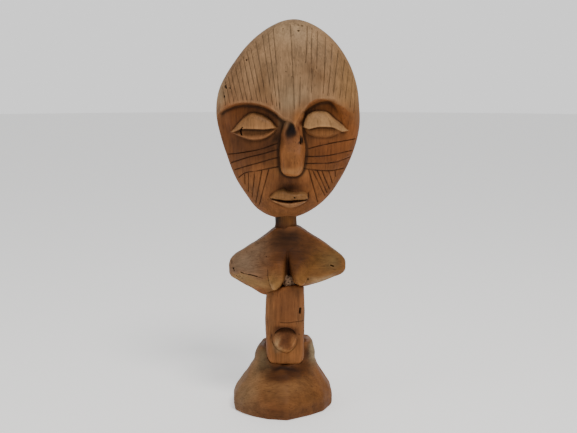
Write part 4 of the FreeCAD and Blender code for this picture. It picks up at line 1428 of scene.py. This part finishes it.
def wood_material(name, stretch):
    """Aged wood with its grain along the least of stretch, painted by the piece's own points."""
    found = bpy.data.materials.get(name)
    if found:
        return found
    made = bpy.data.materials.new(name)
    made.use_nodes = True
    made.node_tree.nodes.clear()
    net = Net(made.node_tree)
    place = net.node("ShaderNodeTexCoord").outputs["Object"]
    grain = net.node("ShaderNodeGroup", node_tree=tree_named("Wood grain", grain_tree))
    net.give(grain.inputs["Place"], place)
    grain.inputs["Stretch"].default_value = stretch
    wear_and_shade = net.node("ShaderNodeGroup", node_tree=tree_named("Worn surface", wear_and_shade_tree))
    for socket in grain.outputs:
        net.give(wear_and_shade.inputs[socket.name], socket)
    net.give(wear_and_shade.inputs["Tone"], net.kept("tone", "Color"))
    wear_and_shade.inputs["Grime"].default_value = (*bpy.context.scene.figure_woods.grime, 1)
    for key, socket in (("hollow", "Hollow"), ("cut", "Cut"), ("fine_cut", "Fine cut")):
        net.give(wear_and_shade.inputs[socket], net.kept(key))
    net.give(wear_and_shade.inputs["Hole"], net.math("MAXIMUM", net.kept("hole"), net.kept("split")))
    fibres = {"Strength": 0.35, "Distance": 0.25 * MM, "Height": wear_and_shade.outputs["Height"]}
    bump = net.node("ShaderNodeBump", fibres)
    bsdf = net.node("ShaderNodeBsdfPrincipled", {
        "Base Color": wear_and_shade.outputs["Color"], "Roughness": wear_and_shade.outputs["Roughness"], "IOR": 1.45,
        "Specular IOR Level": 0.12, "Normal": bump.outputs[0],
    })
    net.node("ShaderNodeOutputMaterial", {"Surface": bsdf.outputs[0]})
    return made


# ---------------------------------------------------------------- stage


def plain(name, colour, roughness):
    """A material of one colour."""
    made = bpy.data.materials.new(name)
    made.use_nodes = True
    bsdf = made.node_tree.nodes["Principled BSDF"]
    bsdf.inputs["Base Color"].default_value = (*srgb(*colour), 1)
    bsdf.inputs["Roughness"].default_value = roughness
    return made


def soft_light(name, place, aim, size, power, colour):
    """A round soft light that looks from a place at an aim."""
    lamp = bpy.data.lights.new(name, "AREA")
    lamp.shape, lamp.size, lamp.energy, lamp.color = "DISK", size, power, colour
    made = bpy.data.objects.new(name, lamp)
    made.location = place
    made.rotation_euler = (Vector(aim) - Vector(place)).to_track_quat("-Z", "Y").to_euler()
    bpy.context.scene.collection.objects.link(made)
    return made


class FIGURE_OT_stage(bpy.types.Operator):
    """Set out the pale floor, the soft light and the camera"""

    bl_idname = "figure.stage"
    bl_label = "Stage"

    def execute(self, context):
        scene, sizes = context.scene, context.scene.figure_stage
        angle = np.linspace(0, 2 * math.pi, 128, endpoint=False)
        disc = np.stack([np.cos(angle), np.sin(angle), np.zeros(128)], axis=1) * sizes.floor / MM
        floor = new_piece("floor", disc, [tuple(range(128))])
        pale = plain("Pale floor", (244, 243, 241), 0.9)
        bsdf = pale.node_tree.nodes["Principled BSDF"]
        bsdf.inputs["Emission Color"].default_value = (1, 1, 1, 1)
        bsdf.inputs["Emission Strength"].default_value = 0.5
        floor.data.materials.append(pale)
        key = soft_light("key", (0.35, -0.75, 1.35), (0, 0, 0.2), 0.5, 14, (1, 0.97, 0.93))
        fill = soft_light("fill", (-1.1, -0.7, 0.6), (0, 0, 0.2), 0.8, 2.6, (0.94, 0.97, 1))

        world = bpy.data.worlds.new("Studio")
        world.use_nodes = True
        net = Net(world.node_tree)
        toward = net.node("ShaderNodeTexCoord").outputs["Generated"]
        behind = net.node("ShaderNodeSeparateXYZ", {0: toward}).outputs["Y"]
        sky = world.node_tree.nodes["Background"]
        net.give(sky.inputs["Strength"], net.spread(behind, 0.3, 0.85, 0.36, 1.15))
        sky.inputs["Color"].default_value = (1, 1, 1, 1)
        scene.world = world

        lens = bpy.data.cameras.new("camera")
        lens.lens = 62.5
        camera = bpy.data.objects.new("camera", lens)
        camera.location = (0.0033, -sizes.distance, sizes.height)
        camera.rotation_euler = (math.radians(90) - sizes.pitch, 0, 0)
        scene.collection.objects.link(camera)
        scene.camera = camera
        return {"FINISHED"}


# ---------------------------------------------------------------- add-on


class FIGURE_PT_panel(bpy.types.Panel):
    """The figure's pieces, sizes and colours"""

    bl_idname = "FIGURE_PT_panel"
    bl_label = "Carved Figure"
    bl_space_type = "VIEW_3D"
    bl_region_type = "UI"
    bl_category = "Figure"

    def draw(self, context):
        for step in STEPS:
            self.layout.operator(step.bl_idname)
        for group in SETTINGS:
            box = self.layout.box()
            settings = getattr(context.scene, group)
            for key in SETTINGS[group].__annotations__:
                box.prop(settings, key)


STEPS = (
    FIGURE_OT_head, FIGURE_OT_torso, FIGURE_OT_shoulders, FIGURE_OT_base, FIGURE_OT_small_parts,
    FIGURE_OT_stage,
)
SETTINGS = {
    "figure_head": HeadSizes, "figure_body": BodySizes, "figure_woods": WoodTones,
    "figure_stage": StageSizes,
}


def register():
    for made in (*SETTINGS.values(), *STEPS, FIGURE_PT_panel):
        bpy.utils.register_class(made)
    for key, group in SETTINGS.items():
        setattr(bpy.types.Scene, key, bpy.props.PointerProperty(type=group))


def unregister():
    for key in SETTINGS:
        delattr(bpy.types.Scene, key)
    for made in reversed((*SETTINGS.values(), *STEPS, FIGURE_PT_panel)):
        bpy.utils.unregister_class(made)


def main():
    register()
    bpy.ops.figure.head()
    bpy.ops.figure.torso()
    bpy.ops.figure.shoulders()
    bpy.ops.figure.base()
    bpy.ops.figure.small_parts()
    bpy.ops.figure.stage()


if __name__ == "__main__":
    main()
